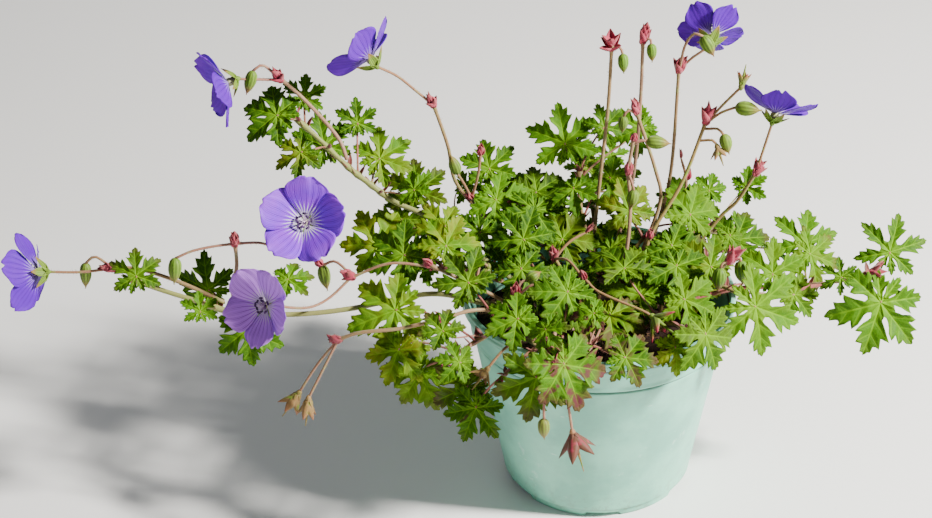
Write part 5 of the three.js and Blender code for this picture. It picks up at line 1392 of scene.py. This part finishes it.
class Finish:
    """A node material under making: each call adds a node and gives its result socket."""

    def __init__(self, name):
        self.material = bpy.data.materials.new(name)
        self.material.use_nodes = True
        self.tree = self.material.node_tree
        self.tree.nodes.clear()
        self.colour = None

    def node(self, kind, result=0, inputs=(), **settings):
        """A node with its settings, and sockets, numbers or colours for its inputs."""
        made = self.tree.nodes.new("ShaderNode" + kind)
        for key, value in settings.items():
            setattr(made, key, value)
        for key, value in dict(inputs).items():
            socket = made.inputs[key]
            if isinstance(value, bpy.types.NodeSocket):
                self.tree.links.new(value, socket)
            elif value is not None:
                is_colour = socket.type == "RGBA" and len(value) == 3
                socket.default_value = (*value, 1) if is_colour else value
        return made.outputs[result]

    def math(self, operation, *values):
        return self.node("Math", 0, enumerate(values), operation=operation)

    def plus(self, a, b):
        return self.math("ADD", a, b)

    def less(self, a, b):
        return self.math("SUBTRACT", a, b)

    def times(self, a, b):
        return self.math("MULTIPLY", a, b)

    def most(self, a, b):
        return self.math("MAXIMUM", a, b)

    def off_middle(self, value):
        """How far a value lies from the middle between two whole numbers."""
        return self.math("ABSOLUTE", self.less(self.math("FRACT", value), 0.5))

    def mix(self, share, a, b):
        return self.node("Mix", 2, {0: share, 6: a, 7: b}, data_type="RGBA")

    def coat(self, share, colour):
        """Lays a colour over the finish so far."""
        self.colour = self.mix(share, self.colour, colour)

    def ramp(self, value, low, high, to_low=0.0, to_high=1.0):
        return self.node("MapRange", 0, {"Value": value, "From Min": low, "From Max": high,
                                         "To Min": to_low, "To Max": to_high},
                         interpolation_type="SMOOTHSTEP")

    def place(self):
        return self.node("TexCoord", "Object")

    def noise(self, scale, detail=3.0, rough=0.55, vector=None):
        return self.node("TexNoise", 0, {"Scale": scale, "Detail": detail, "Roughness": rough,
                                         "Vector": self.place() if vector is None else vector})

    def tones(self):
        """Tint, age, redness and reach of the point."""
        tone = self.node("Attribute", "Color", attribute_name="tone")
        parts = self.node("SeparateColor", 0, {0: tone}).node.outputs
        return parts[0], parts[1], parts[2], tone.node.outputs["Alpha"]

    def drawing(self):
        """The two places of the point in its piece's drawing."""
        parts = self.node("SeparateXYZ", 0, {0: self.node("UVMap", uv_map="drawing")}).node.outputs
        return parts[0], parts[1]

    def bump(self, height, strength, distance):
        return self.node("Bump", 0, {"Height": height, "Strength": strength, "Distance": distance * MM})

    def close(self, roughness, normal=None, through=None, share=0.0, **constants):
        """The finished surface. through is the colour of light that passes, with its share."""
        inputs = {"Base Color": self.colour, "Roughness": roughness, "Normal": normal}
        for key, value in constants.items():
            inputs[key.replace("_", " ")] = value
        surface = self.node("BsdfPrincipled", 0, inputs)
        if through is not None:
            glow = self.node("BsdfTranslucent", 0, {"Color": through, "Normal": normal})
            surface = self.node("MixShader", 0, {0: share, 1: surface, 2: glow})
        self.node("OutputMaterial", slice(0, 0), {0: surface})
        return self.material


def blade_finish(looks):
    """Leaf blades: pale midribs and side veins, mottling, yellowing and burgundy margins."""
    f = Finish("geranium leaf blade")
    tint, age, red, reach = f.tones()
    vein, v = f.drawing()
    f.colour = f.mix(tint, looks.leaf_deep, looks.leaf_bright)
    f.coat(f.ramp(f.noise(90, 3), 0.4, 0.7, 0, 0.35), looks.leaf_bright)
    f.coat(f.ramp(reach, 0.04, 0.42, 0.5, 0), looks.leaf_vein)
    f.coat(f.times(age, f.ramp(f.noise(60, 2), 0.3, 0.65)), looks.leaf_old)
    midrib = f.times(f.ramp(v, 0.007, 0.024, 1, 0), f.ramp(reach, 0.2, 0.95, 0.8, 0.4))
    side = f.times(f.ramp(f.off_middle(f.plus(vein, 0.5)), 0.1, 0.03), f.ramp(vein, 0.5, 0.8))
    fine = f.node("TexVoronoi", "Distance", {"Scale": 420.0, "Vector": f.place()},
                  feature="DISTANCE_TO_EDGE")
    veins = f.most(f.most(midrib, f.times(side, 0.4)), f.ramp(fine, 0.0, 0.1, 0.2, 0))
    f.coat(veins, looks.leaf_vein)
    margin = f.times(red, f.ramp(f.plus(reach, f.times(f.noise(150, 2), 0.25)), 0.72, 1.0))
    f.coat(margin, looks.leaf_red)
    blots = f.times(f.ramp(red, 0.45, 0.8), f.ramp(f.noise(110, 2, 0.5), 0.52, 0.6))
    f.coat(f.times(blots, f.less(1, veins)), looks.leaf_red)
    height = f.plus(f.times(veins, -0.8), f.times(f.noise(300, 3), 0.5))
    through = f.mix(0.5, f.colour, looks.leaf_through)
    return f.close(f.ramp(f.noise(140, 2), 0.3, 0.7, 0.52, 0.7), f.bump(height, 0.75, 0.5),
                   through, looks.leaf_passing, Specular_IOR_Level=0.18)


def stem_finish(looks):
    """Stems and leaf stalks: green to tan, with a pink flush and fine grain."""
    f = Finish("geranium stem")
    tint, along, red, _ = f.tones()
    streak = f.noise(160, 4)
    f.colour = f.mix(tint, looks.stem_green, looks.stem_tan)
    f.coat(f.times(along, 0.35), looks.stem_green)
    f.coat(f.times(red, f.ramp(streak, 0.22, 0.5)), looks.stem_pink)
    f.coat(f.ramp(f.noise(700, 2), 0.55, 0.75, 0, 0.3), looks.stem_tan)
    return f.close(f.ramp(streak, 0.3, 0.7, 0.48, 0.66), f.bump(f.noise(900, 2), 0.35, 0.3),
                   Sheen_Weight=0.12, Sheen_Roughness=0.6, Specular_IOR_Level=0.3)


def scale_finish(looks):
    """Bracts and stipules: crimson to salmon, brown where dry."""
    f = Finish("geranium bract")
    _, dry, red, reach = f.tones()
    _, v = f.drawing()
    f.colour = f.mix(red, looks.bract_pale, looks.bract_red)
    f.coat(f.ramp(f.noise(220, 3), 0.35, 0.7, 0, 0.38), looks.bract_pale)
    f.coat(f.times(dry, f.ramp(f.noise(180, 2), 0.15, 0.48)), looks.dry_brown)
    rib = f.ramp(v, 0.05, 0.25, 0.45, 0)
    f.coat(rib, looks.bract_red)
    f.coat(f.times(f.ramp(reach, 0.5, 0.95), f.plus(dry, 0.35)), looks.dry_brown)
    return f.close(0.55, f.bump(f.plus(rib, f.noise(500, 2)), 0.4, 0.3), f.colour, 0.22,
                   Sheen_Weight=0.2, Specular_IOR_Level=0.35)


def bud_finish(looks):
    """Buds, sepals and seed heads: pale green with lighter ribs, pink tips, tan where dry."""
    f = Finish("geranium bud")
    tint, dry, red, reach = f.tones()
    _, turn = f.drawing()
    rib = f.math("COSINE", f.times(turn, BUD_SIDES * pi))
    rib = f.plus(rib, f.times(f.less(f.noise(500, 2), 0.5), 1.2))
    f.colour = f.mix(f.times(tint, 0.4), looks.bud_green, looks.bud_pale)
    f.coat(f.ramp(rib, -0.1, 0.9, 0, 0.8), looks.bud_pale)
    f.coat(f.ramp(rib, -0.5, -1.1, 0, 0.4), looks.leaf_deep)
    f.coat(f.times(red, f.ramp(reach, 0.5, 1.0, 0.06, 1)), looks.bract_red)
    f.coat(f.times(dry, f.ramp(f.noise(170, 2), 0.2, 0.5)), looks.dry_tan)
    return f.close(0.55, f.bump(f.noise(420, 3), 0.4, 0.4), f.colour, 0.12,
                   Sheen_Weight=0.1, Sheen_Roughness=0.5, Specular_IOR_Level=0.25)


def petal_finish(looks):
    """Petals: a white throat with rays, violet-blue beyond it, forked dark veins, and painted shade on their
    backs.
    """
    f = Finish("geranium petal")
    tint, lilac, deep, _ = f.tones()
    s, side = f.drawing()
    back = f.math("GREATER_THAN", side, BACK_OF_PETAL - 0.5)
    t = f.less(side, f.times(back, BACK_OF_PETAL))
    wobble = f.times(f.less(f.noise(120, 2), 0.5), 0.05)
    spread = f.plus(f.plus(f.less(t, 0.5), f.times(wobble, s)), 10.5)
    rays, fine = f.off_middle(f.times(spread, 7.0)), f.off_middle(f.times(spread, 14.0))
    f.colour = f.mix(f.ramp(f.noise(70, 2), 0.3, 0.7), looks.petal_blue, looks.petal_violet)
    f.coat(f.times(tint, 0.45), looks.petal_deep_and_shade)
    f.coat(lilac, looks.petal_lilac)
    f.coat(f.ramp(s, 0.55, 1.0, 0, 0.15), looks.petal_lilac)
    f.coat(deep, looks.petal_deep_and_shade)
    # Painted shade: the backs of the petals are darkened with the deep petal colour.
    f.coat(f.times(back, 0.72), looks.petal_deep_and_shade)
    reach = f.plus(f.times(f.math("POWER", f.times(rays, 2), 2), 0.28), f.times(f.noise(160, 2), 0.06))
    pale = f.ramp(f.less(s, reach), 0.06, 0.2, 1, 0)
    pale = f.times(pale, f.less(1, f.times(back, 0.75)))
    white = f.mix(f.times(lilac, 0.35), looks.petal_white, looks.petal_throat_vein)
    f.coat(pale, white)
    main = f.times(f.ramp(rays, 0.12, 0.01, 0, 1), f.ramp(s, 0.05, 0.14))
    main = f.times(main, f.plus(f.ramp(s, 0.4, 0.95, 0.72, 0.2), f.times(back, 0.25)))
    veins = f.most(main, f.times(f.ramp(fine, 0.16, 0.02, 0, 0.3), f.ramp(s, 0.42, 0.6)))
    f.coat(veins, f.mix(pale, looks.petal_vein, looks.petal_throat_vein))
    height = f.plus(f.times(veins, -1.0), f.times(f.noise(420, 2), 0.5))
    through = f.mix(0.1, f.colour, looks.petal_lilac)
    return f.close(0.5, f.bump(height, 0.5, 0.35), through, looks.petal_passing,
                   Sheen_Weight=0.04, Sheen_Roughness=0.4, Specular_IOR_Level=0.12)


def plain_finish(name, low, high, scale, roughness, strength=0.4, **constants):
    """Two close colours in fine mottling."""
    f = Finish(name)
    tint, _, _, _ = f.tones()
    grain = f.noise(scale, 4)
    f.colour = f.mix(f.ramp(f.plus(f.times(tint, 0.5), f.times(grain, 0.8)), 0.3, 0.9), low, high)
    return f.close(roughness, f.bump(grain, strength, 0.5), **constants)


def pot_finish(looks):
    """Thin moulded plastic: faint mottling, rubbed patches, scratches, painted shade in its grooves, peat
    dust low down.
    """
    f = Finish("nursery pot plastic")
    _, high = f.drawing()
    f.colour = f.mix(f.ramp(f.noise(26, 4), 0.35, 0.68), looks.pot_shade, looks.pot_pale)
    stretched = f.node("Mapping", 0, {"Vector": f.place(), "Scale": (55, 55, 190)})
    scuffs = f.ramp(f.noise(1.0, 5.0, 0.65, stretched), 0.66, 0.73, 0, 0.55)
    f.coat(scuffs, looks.pot_scuff)
    f.coat(f.ramp(f.noise(34, 5, 0.7), 0.63, 0.7, 0, 0.4), looks.pot_scuff)
    # Painted shade: dark lines in the grooves under the step ring, under the lip and at the foot, where
    # shade falls.
    for groove, reach in ((POT_HEIGHT - STEP_DEPTH - 1.0, 1.3), (POT_HEIGHT - LIP_HEIGHT - 1.4, 1.7),
                          (FOOT_HEIGHT + 0.2, 1.1)):
        away = f.math("ABSOLUTE", f.less(high, groove / POT_HEIGHT))
        painted_groove_shade = f.ramp(away, 0.35 * reach / POT_HEIGHT, reach / POT_HEIGHT, 0.92, 0)
        f.coat(painted_groove_shade, looks.pot_groove_shade)
    dust = f.times(f.ramp(high, 0.0, 0.22, 0.4, 0.05), f.ramp(f.noise(180, 4, 0.7), 0.45, 0.7))
    f.coat(dust, looks.pot_dust)
    rough = f.plus(f.ramp(f.noise(40, 3), 0.3, 0.7, 0.36, 0.5), f.times(scuffs, 0.3))
    height = f.plus(f.times(f.noise(240, 3), 0.5), f.times(scuffs, -0.6))
    return f.close(rough, f.bump(height, 0.14, 0.4), Specular_IOR_Level=0.5,
                   Subsurface_Weight=0.08, Subsurface_Scale=0.004)


def floor_finish():
    """A pale, even floor."""
    f = Finish("pale floor")
    f.colour = f.mix(f.noise(3, 2), (0.88, 0.88, 0.875), (0.92, 0.92, 0.915))
    return f.close(0.7)


# ---- settings ----


def paint(name, description, default):
    """A colour that the sidebar shows."""
    return FloatVectorProperty(name=name, description=description, default=default, size=3, min=0, max=1,
                               subtype="COLOR")


class GERANIUM_PG_pot(bpy.types.PropertyGroup):
    lip_roll: FloatProperty(name="Lip roll", description="How far the lip's top edge rounds inwards",
                            default=1.8 * MM, min=0.5 * MM, max=3 * MM, unit="LENGTH")
    crumbs: IntProperty(name="Peat crumbs", description="Number of loose crumbs on the peat",
                        default=2600, min=0, max=6000)
    pot_pale: paint("Pot", "Colour of the pot's plastic", (0.25, 0.62, 0.46))
    pot_shade: paint("Pot shade", "Darker mottling of the plastic", (0.17, 0.46, 0.345))
    pot_groove_shade: paint("Pot grooves", "Shade in the grooves of the plastic", (0.045, 0.085, 0.08))
    # Painted shade for the grooves of the plastic.
    pot_scuff: paint("Pot scuffs", "Rubbed and scratched plastic", (0.52, 0.74, 0.66))
    pot_dust: paint("Pot dust", "Peat dust on the plastic", (0.16, 0.13, 0.09))
    peat_dark: paint("Peat", "Colour of damp peat", (0.008, 0.004, 0.004))
    peat_light: paint("Dry peat", "Colour of dry crumbs", (0.036, 0.020, 0.014))
    bark_dark: paint("Bark", "Colour of bark bits", (0.05, 0.026, 0.013))
    bark_light: paint("Pale bark", "Colour of pale bark bits", (0.15, 0.08, 0.042))


class GERANIUM_PG_foliage(bpy.types.PropertyGroup):
    leaf_deep: paint("Leaf", "Deeper leaf green", (0.012, 0.052, 0.001))
    leaf_bright: paint("Bright leaf", "Yellow-green of young blades", (0.078, 0.225, 0.001))
    leaf_vein: paint("Leaf veins", "Pale veins and leaf middles", (0.22, 0.46, 0.004))
    leaf_old: paint("Old leaf", "Yellowed blades", (0.40, 0.36, 0.02))
    leaf_red: paint("Leaf margin", "Burgundy of margins and blotches", (0.12, 0.010, 0.034))
    leaf_through: paint("Light through leaf", "Colour of light that passes a blade", (0.22, 0.46, 0.001))
    leaf_passing: FloatProperty(name="Light passing", description="Share of light that passes a blade",
                                default=0.3, min=0, max=1, subtype="FACTOR")
    stem_green: paint("Stem", "Green of the stems", (0.16, 0.26, 0.012))
    stem_tan: paint("Tan stem", "Tan of the stems", (0.37, 0.29, 0.19))
    stem_pink: paint("Pink stem", "Pink flush of the stems", (0.30, 0.075, 0.065))
    bract_red: paint("Bract", "Crimson of the bracts", (0.43, 0.005, 0.065))
    bract_pale: paint("Pale bract", "Salmon of the bracts", (0.64, 0.16, 0.19))
    dry_brown: paint("Dry leaflet", "Brown of dry stipules", (0.15, 0.055, 0.03))
    dry_tan: paint("Dry calyx", "Tan of dry calyxes", (0.33, 0.16, 0.075))
    bud_green: paint("Bud", "Green of the buds", (0.042, 0.16, 0.002))
    bud_pale: paint("Bud ribs", "Pale green of the bud ribs", (0.19, 0.40, 0.02))


class GERANIUM_PG_blooms(bpy.types.PropertyGroup):
    petal_blue: paint("Petal", "Violet-blue of the petals", (0.24, 0.004, 1.0))
    petal_violet: paint("Violet petal", "More violet parts of the petals", (0.37, 0.012, 1.0))
    # The deep petal colour also paints the shade on the petals' backs.
    petal_deep_and_shade: paint("Deep petal", "Deepest parts of the petals", (0.105, 0.0, 0.46))
    petal_lilac: paint("Lilac petal", "Pale lilac parts", (0.66, 0.25, 1.0))
    petal_white: paint("Throat", "White of the throat", (0.86, 0.85, 0.9))
    petal_vein: paint("Petal veins", "Dark veins", (0.06, 0.008, 0.28))
    petal_throat_vein: paint("Throat veins", "Veins in the white throat", (0.40, 0.17, 0.52))
    petal_passing: FloatProperty(name="Light passing", description="Share of light that passes a petal",
                                 default=0.24, min=0, max=1, subtype="FACTOR")
    anther_dark: paint("Anther", "Dark anthers", (0.022, 0.006, 0.045))
    anther_light: paint("Anther edge", "Paler edges of anthers", (0.075, 0.02, 0.12))
    filament_low: paint("Filament", "Filaments", (0.42, 0.17, 0.5))
    filament_high: paint("Pale filament", "Paler filaments and style", (0.75, 0.62, 0.72))
    hub_low: paint("Receptacle", "Green of the receptacle", (0.30, 0.33, 0.11))
    hub_high: paint("Pale receptacle", "Pale green of the receptacle", (0.62, 0.62, 0.34))


class GERANIUM_PG_stage(bpy.types.PropertyGroup):
    focal_length: FloatProperty(name="Focal length", description="The camera's focal length, in millimetres",
                                default=1925 / 932 * 36, min=20, max=200)
    distance: FloatProperty(name="Distance", description="From the camera to what it looks at",
                            default=1300 * MM, min=0.5, max=4, unit="LENGTH")
    elevation: FloatProperty(name="Elevation", description="The camera's angle over the horizon",
                             default=radians(30), min=0, max=1.5, unit="ROTATION")
    roll: FloatProperty(name="Roll", description="The camera's turn about its own axis",
                        default=radians(-1.5), min=-0.5, max=0.5, unit="ROTATION")
    key_power: FloatProperty(name="Key light", description="Power of the main soft light", default=168,
                             min=0, max=400, unit="POWER")
    fill_power: FloatProperty(name="Fill light", description="Power of the fill light", default=4,
                              min=0, max=400, unit="POWER")
    sky_strength: FloatProperty(name="Room light", description="Strength of the even light all round",
                                default=0.12, min=0, max=2, subtype="FACTOR")


# ---- operators ----

MADE = {}


def plant_stems():
    """The leafy stems with all their leaves, settled once in a run."""
    if "stems" not in MADE:
        MADE["stems"], crowd = settle_plant()
        add_young_leaves(MADE["stems"], crowd)
    return MADE["stems"]


def green_finishes(context):
    """The finishes of blades, stems, leaflets and buds, made once in a run."""
    if "greens" not in MADE:
        looks = context.scene.geranium_foliage
        MADE["greens"] = [blade_finish(looks), stem_finish(looks), scale_finish(looks), bud_finish(looks)]
    return MADE["greens"]


class GERANIUM_OT_mould_pot(bpy.types.Operator):
    """Mould the thin nursery pot with its lip, step ring, foot, notches and drain holes"""
    bl_idname = "geranium.mould_pot"
    bl_label = "Mould the pot"

    def execute(self, context):
        settings = context.scene.geranium_pot
        mould_pot(settings, [pot_finish(settings)])
        return {"FINISHED"}


class GERANIUM_OT_spread_peat(bpy.types.Operator):
    """Fill the pot with peat, crumbs and bark bits"""
    bl_idname = "geranium.spread_peat"
    bl_label = "Spread the peat"

    def execute(self, context):
        settings = context.scene.geranium_pot
        peat = plain_finish("damp peat", settings.peat_dark, settings.peat_light, 320, 0.95, 0.9,
                            Specular_IOR_Level=0.15)
        bark = plain_finish("bark bits", settings.bark_dark, settings.bark_light, 240, 0.85, 0.7,
                            Specular_IOR_Level=0.2)
        spread_peat(settings, [peat, bark])
        return {"FINISHED"}


class GERANIUM_OT_grow_foliage(bpy.types.Operator):
    """Grow the leafy stems with their toothed leaves, stipules and hairs"""
    bl_idname = "geranium.grow_foliage"
    bl_label = "Grow the foliage"

    def execute(self, context):
        for index, stem in enumerate(plant_stems()):
            grow_stem(stem, index, green_finishes(context))
        return {"FINISHED"}


class GERANIUM_OT_grow_stalks(bpy.types.Operator):
    """Grow the flower stalks with their bracts, buds, calyxes and seed heads"""
    bl_idname = "geranium.grow_stalks"
    bl_label = "Grow the flower stalks"

    def execute(self, context):
        for index, stalk in enumerate(FLOWER_STALKS):
            grow_stalk(stalk, index, green_finishes(context))
        return {"FINISHED"}


class GERANIUM_OT_open_blooms(bpy.types.Operator):
    """Open the blooms: five veined petals round a pale throat"""
    bl_idname = "geranium.open_blooms"
    bl_label = "Open the blooms"

    def execute(self, context):
        looks = context.scene.geranium_blooms
        hub = plain_finish("receptacle", looks.hub_low, looks.hub_high, 300, 0.6)
        petals = petal_finish(looks)
        for index, bloom in enumerate(BLOOMS):
            grow_bloom(bloom, index, [petals, hub])
        return {"FINISHED"}


class GERANIUM_OT_set_stamens(bpy.types.Operator):
    """Set the stamens and the style in each bloom"""
    bl_idname = "geranium.set_stamens"
    bl_label = "Set the stamens"

    def execute(self, context):
        looks = context.scene.geranium_blooms
        filament = plain_finish("filament", looks.filament_low, looks.filament_high, 400, 0.5)
        anther = plain_finish("anther", looks.anther_dark, looks.anther_light, 500, 0.75, 0.6)
        for index, bloom in enumerate(BLOOMS):
            grow_heart(bloom, index, [filament, anther])
        return {"FINISHED"}


STAGE_TARGET = (-0.0897, 0.0, 0.1715)
FLOOR_SIZE = 8.0
ROOM_COLOUR = (0.92, 0.95, 1.0, 1)
# Soft lights: place, the setting that holds their power, size and colour.
LIGHTS = {
    "key_light": ((1.5, -0.52, 1.4), "key_power", 0.22, (1.0, 0.965, 0.9)),
    "fill_light": ((-1.3, -1.1, 0.9), "fill_power", 1.6, (0.9, 0.95, 1.0)),
    "back_light": ((-0.3, 1.4, 1.2), "fill_power", 1.2, (1.0, 1.0, 1.0)),
}


def soft_light(name, place, power, size, colour):
    """A soft area light that shines at the middle of the stage."""
    data = bpy.data.lights.new(name, "AREA")
    data.energy, data.size, data.color = power, size, colour
    lamp = bpy.data.objects.new(name, data)
    lamp.location = place
    lamp.rotation_euler = (Vector(STAGE_TARGET) - Vector(place)).to_track_quat("-Z", "Y").to_euler()
    bpy.context.scene.collection.objects.link(lamp)


def stage_camera(settings):
    """The camera, which looks down at the middle of the stage."""
    camera = bpy.data.objects.new("camera", bpy.data.cameras.new("camera"))
    camera.data.lens = settings.focal_length
    forward = Vector((0, cos(settings.elevation), -sin(settings.elevation)))
    right = Vector((1, 0, 0))
    up = right.cross(forward)
    c, s = cos(settings.roll), sin(settings.roll)
    right, up = right * c + up * s, up * c - right * s
    place = Vector(STAGE_TARGET) - forward * settings.distance
    turn = Matrix((right, up, -forward)).transposed().to_4x4()
    camera.matrix_world = Matrix.Translation(place) @ turn
    return camera


class GERANIUM_OT_set_stage(bpy.types.Operator):
    """Set the pale floor, the soft lights and the camera"""
    bl_idname = "geranium.set_stage"
    bl_label = "Set the stage"

    def execute(self, context):
        settings = context.scene.geranium_stage
        bpy.ops.mesh.primitive_plane_add(size=FLOOR_SIZE)
        floor = context.object
        floor.name = "pale_floor"
        floor.data.materials.append(floor_finish())
        for name, (place, power, size, colour) in LIGHTS.items():
            soft_light(name, place, getattr(settings, power), size, colour)
        world = bpy.data.worlds.new("room_light")
        world.use_nodes = True
        background = world.node_tree.nodes["Background"]
        background.inputs[0].default_value = ROOM_COLOUR
        background.inputs[1].default_value = settings.sky_strength
        context.scene.world = world
        camera = stage_camera(settings)
        context.scene.collection.objects.link(camera)
        context.scene.camera = camera
        return {"FINISHED"}


OPERATORS = (GERANIUM_OT_set_stage, GERANIUM_OT_mould_pot, GERANIUM_OT_spread_peat,
             GERANIUM_OT_grow_foliage, GERANIUM_OT_grow_stalks, GERANIUM_OT_open_blooms,
             GERANIUM_OT_set_stamens)
GROUPS = {"geranium_pot": GERANIUM_PG_pot, "geranium_foliage": GERANIUM_PG_foliage,
          "geranium_blooms": GERANIUM_PG_blooms, "geranium_stage": GERANIUM_PG_stage}


class GERANIUM_PT_sidebar(bpy.types.Panel):
    """The geranium's steps and settings"""
    bl_idname = "GERANIUM_PT_sidebar"
    bl_label = "Potted geranium"
    bl_space_type = "VIEW_3D"
    bl_region_type = "UI"
    bl_category = "Geranium"

    def draw(self, context):
        for operator in OPERATORS:
            self.layout.operator(operator.bl_idname)
        for name in GROUPS:
            box = self.layout.box()
            settings = getattr(context.scene, name)
            for key in settings.bl_rna.properties.keys():
                if key not in ("rna_type", "name"):
                    box.prop(settings, key)


def register():
    for group in GROUPS.values():
        bpy.utils.register_class(group)
    for name, group in GROUPS.items():
        setattr(bpy.types.Scene, name, PointerProperty(type=group))
    for item in (*OPERATORS, GERANIUM_PT_sidebar):
        bpy.utils.register_class(item)


def unregister():
    for item in (GERANIUM_PT_sidebar, *reversed(OPERATORS)):
        bpy.utils.unregister_class(item)
    for name, group in GROUPS.items():
        delattr(bpy.types.Scene, name)
        bpy.utils.unregister_class(group)


def main():
    register()
    for operator in OPERATORS:
        area, name = operator.bl_idname.split(".")
        if getattr(getattr(bpy.ops, area), name)() != {"FINISHED"}:
            raise RuntimeError(f"{operator.bl_label} did not finish")
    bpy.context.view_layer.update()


if __name__ == "__main__":
    main()
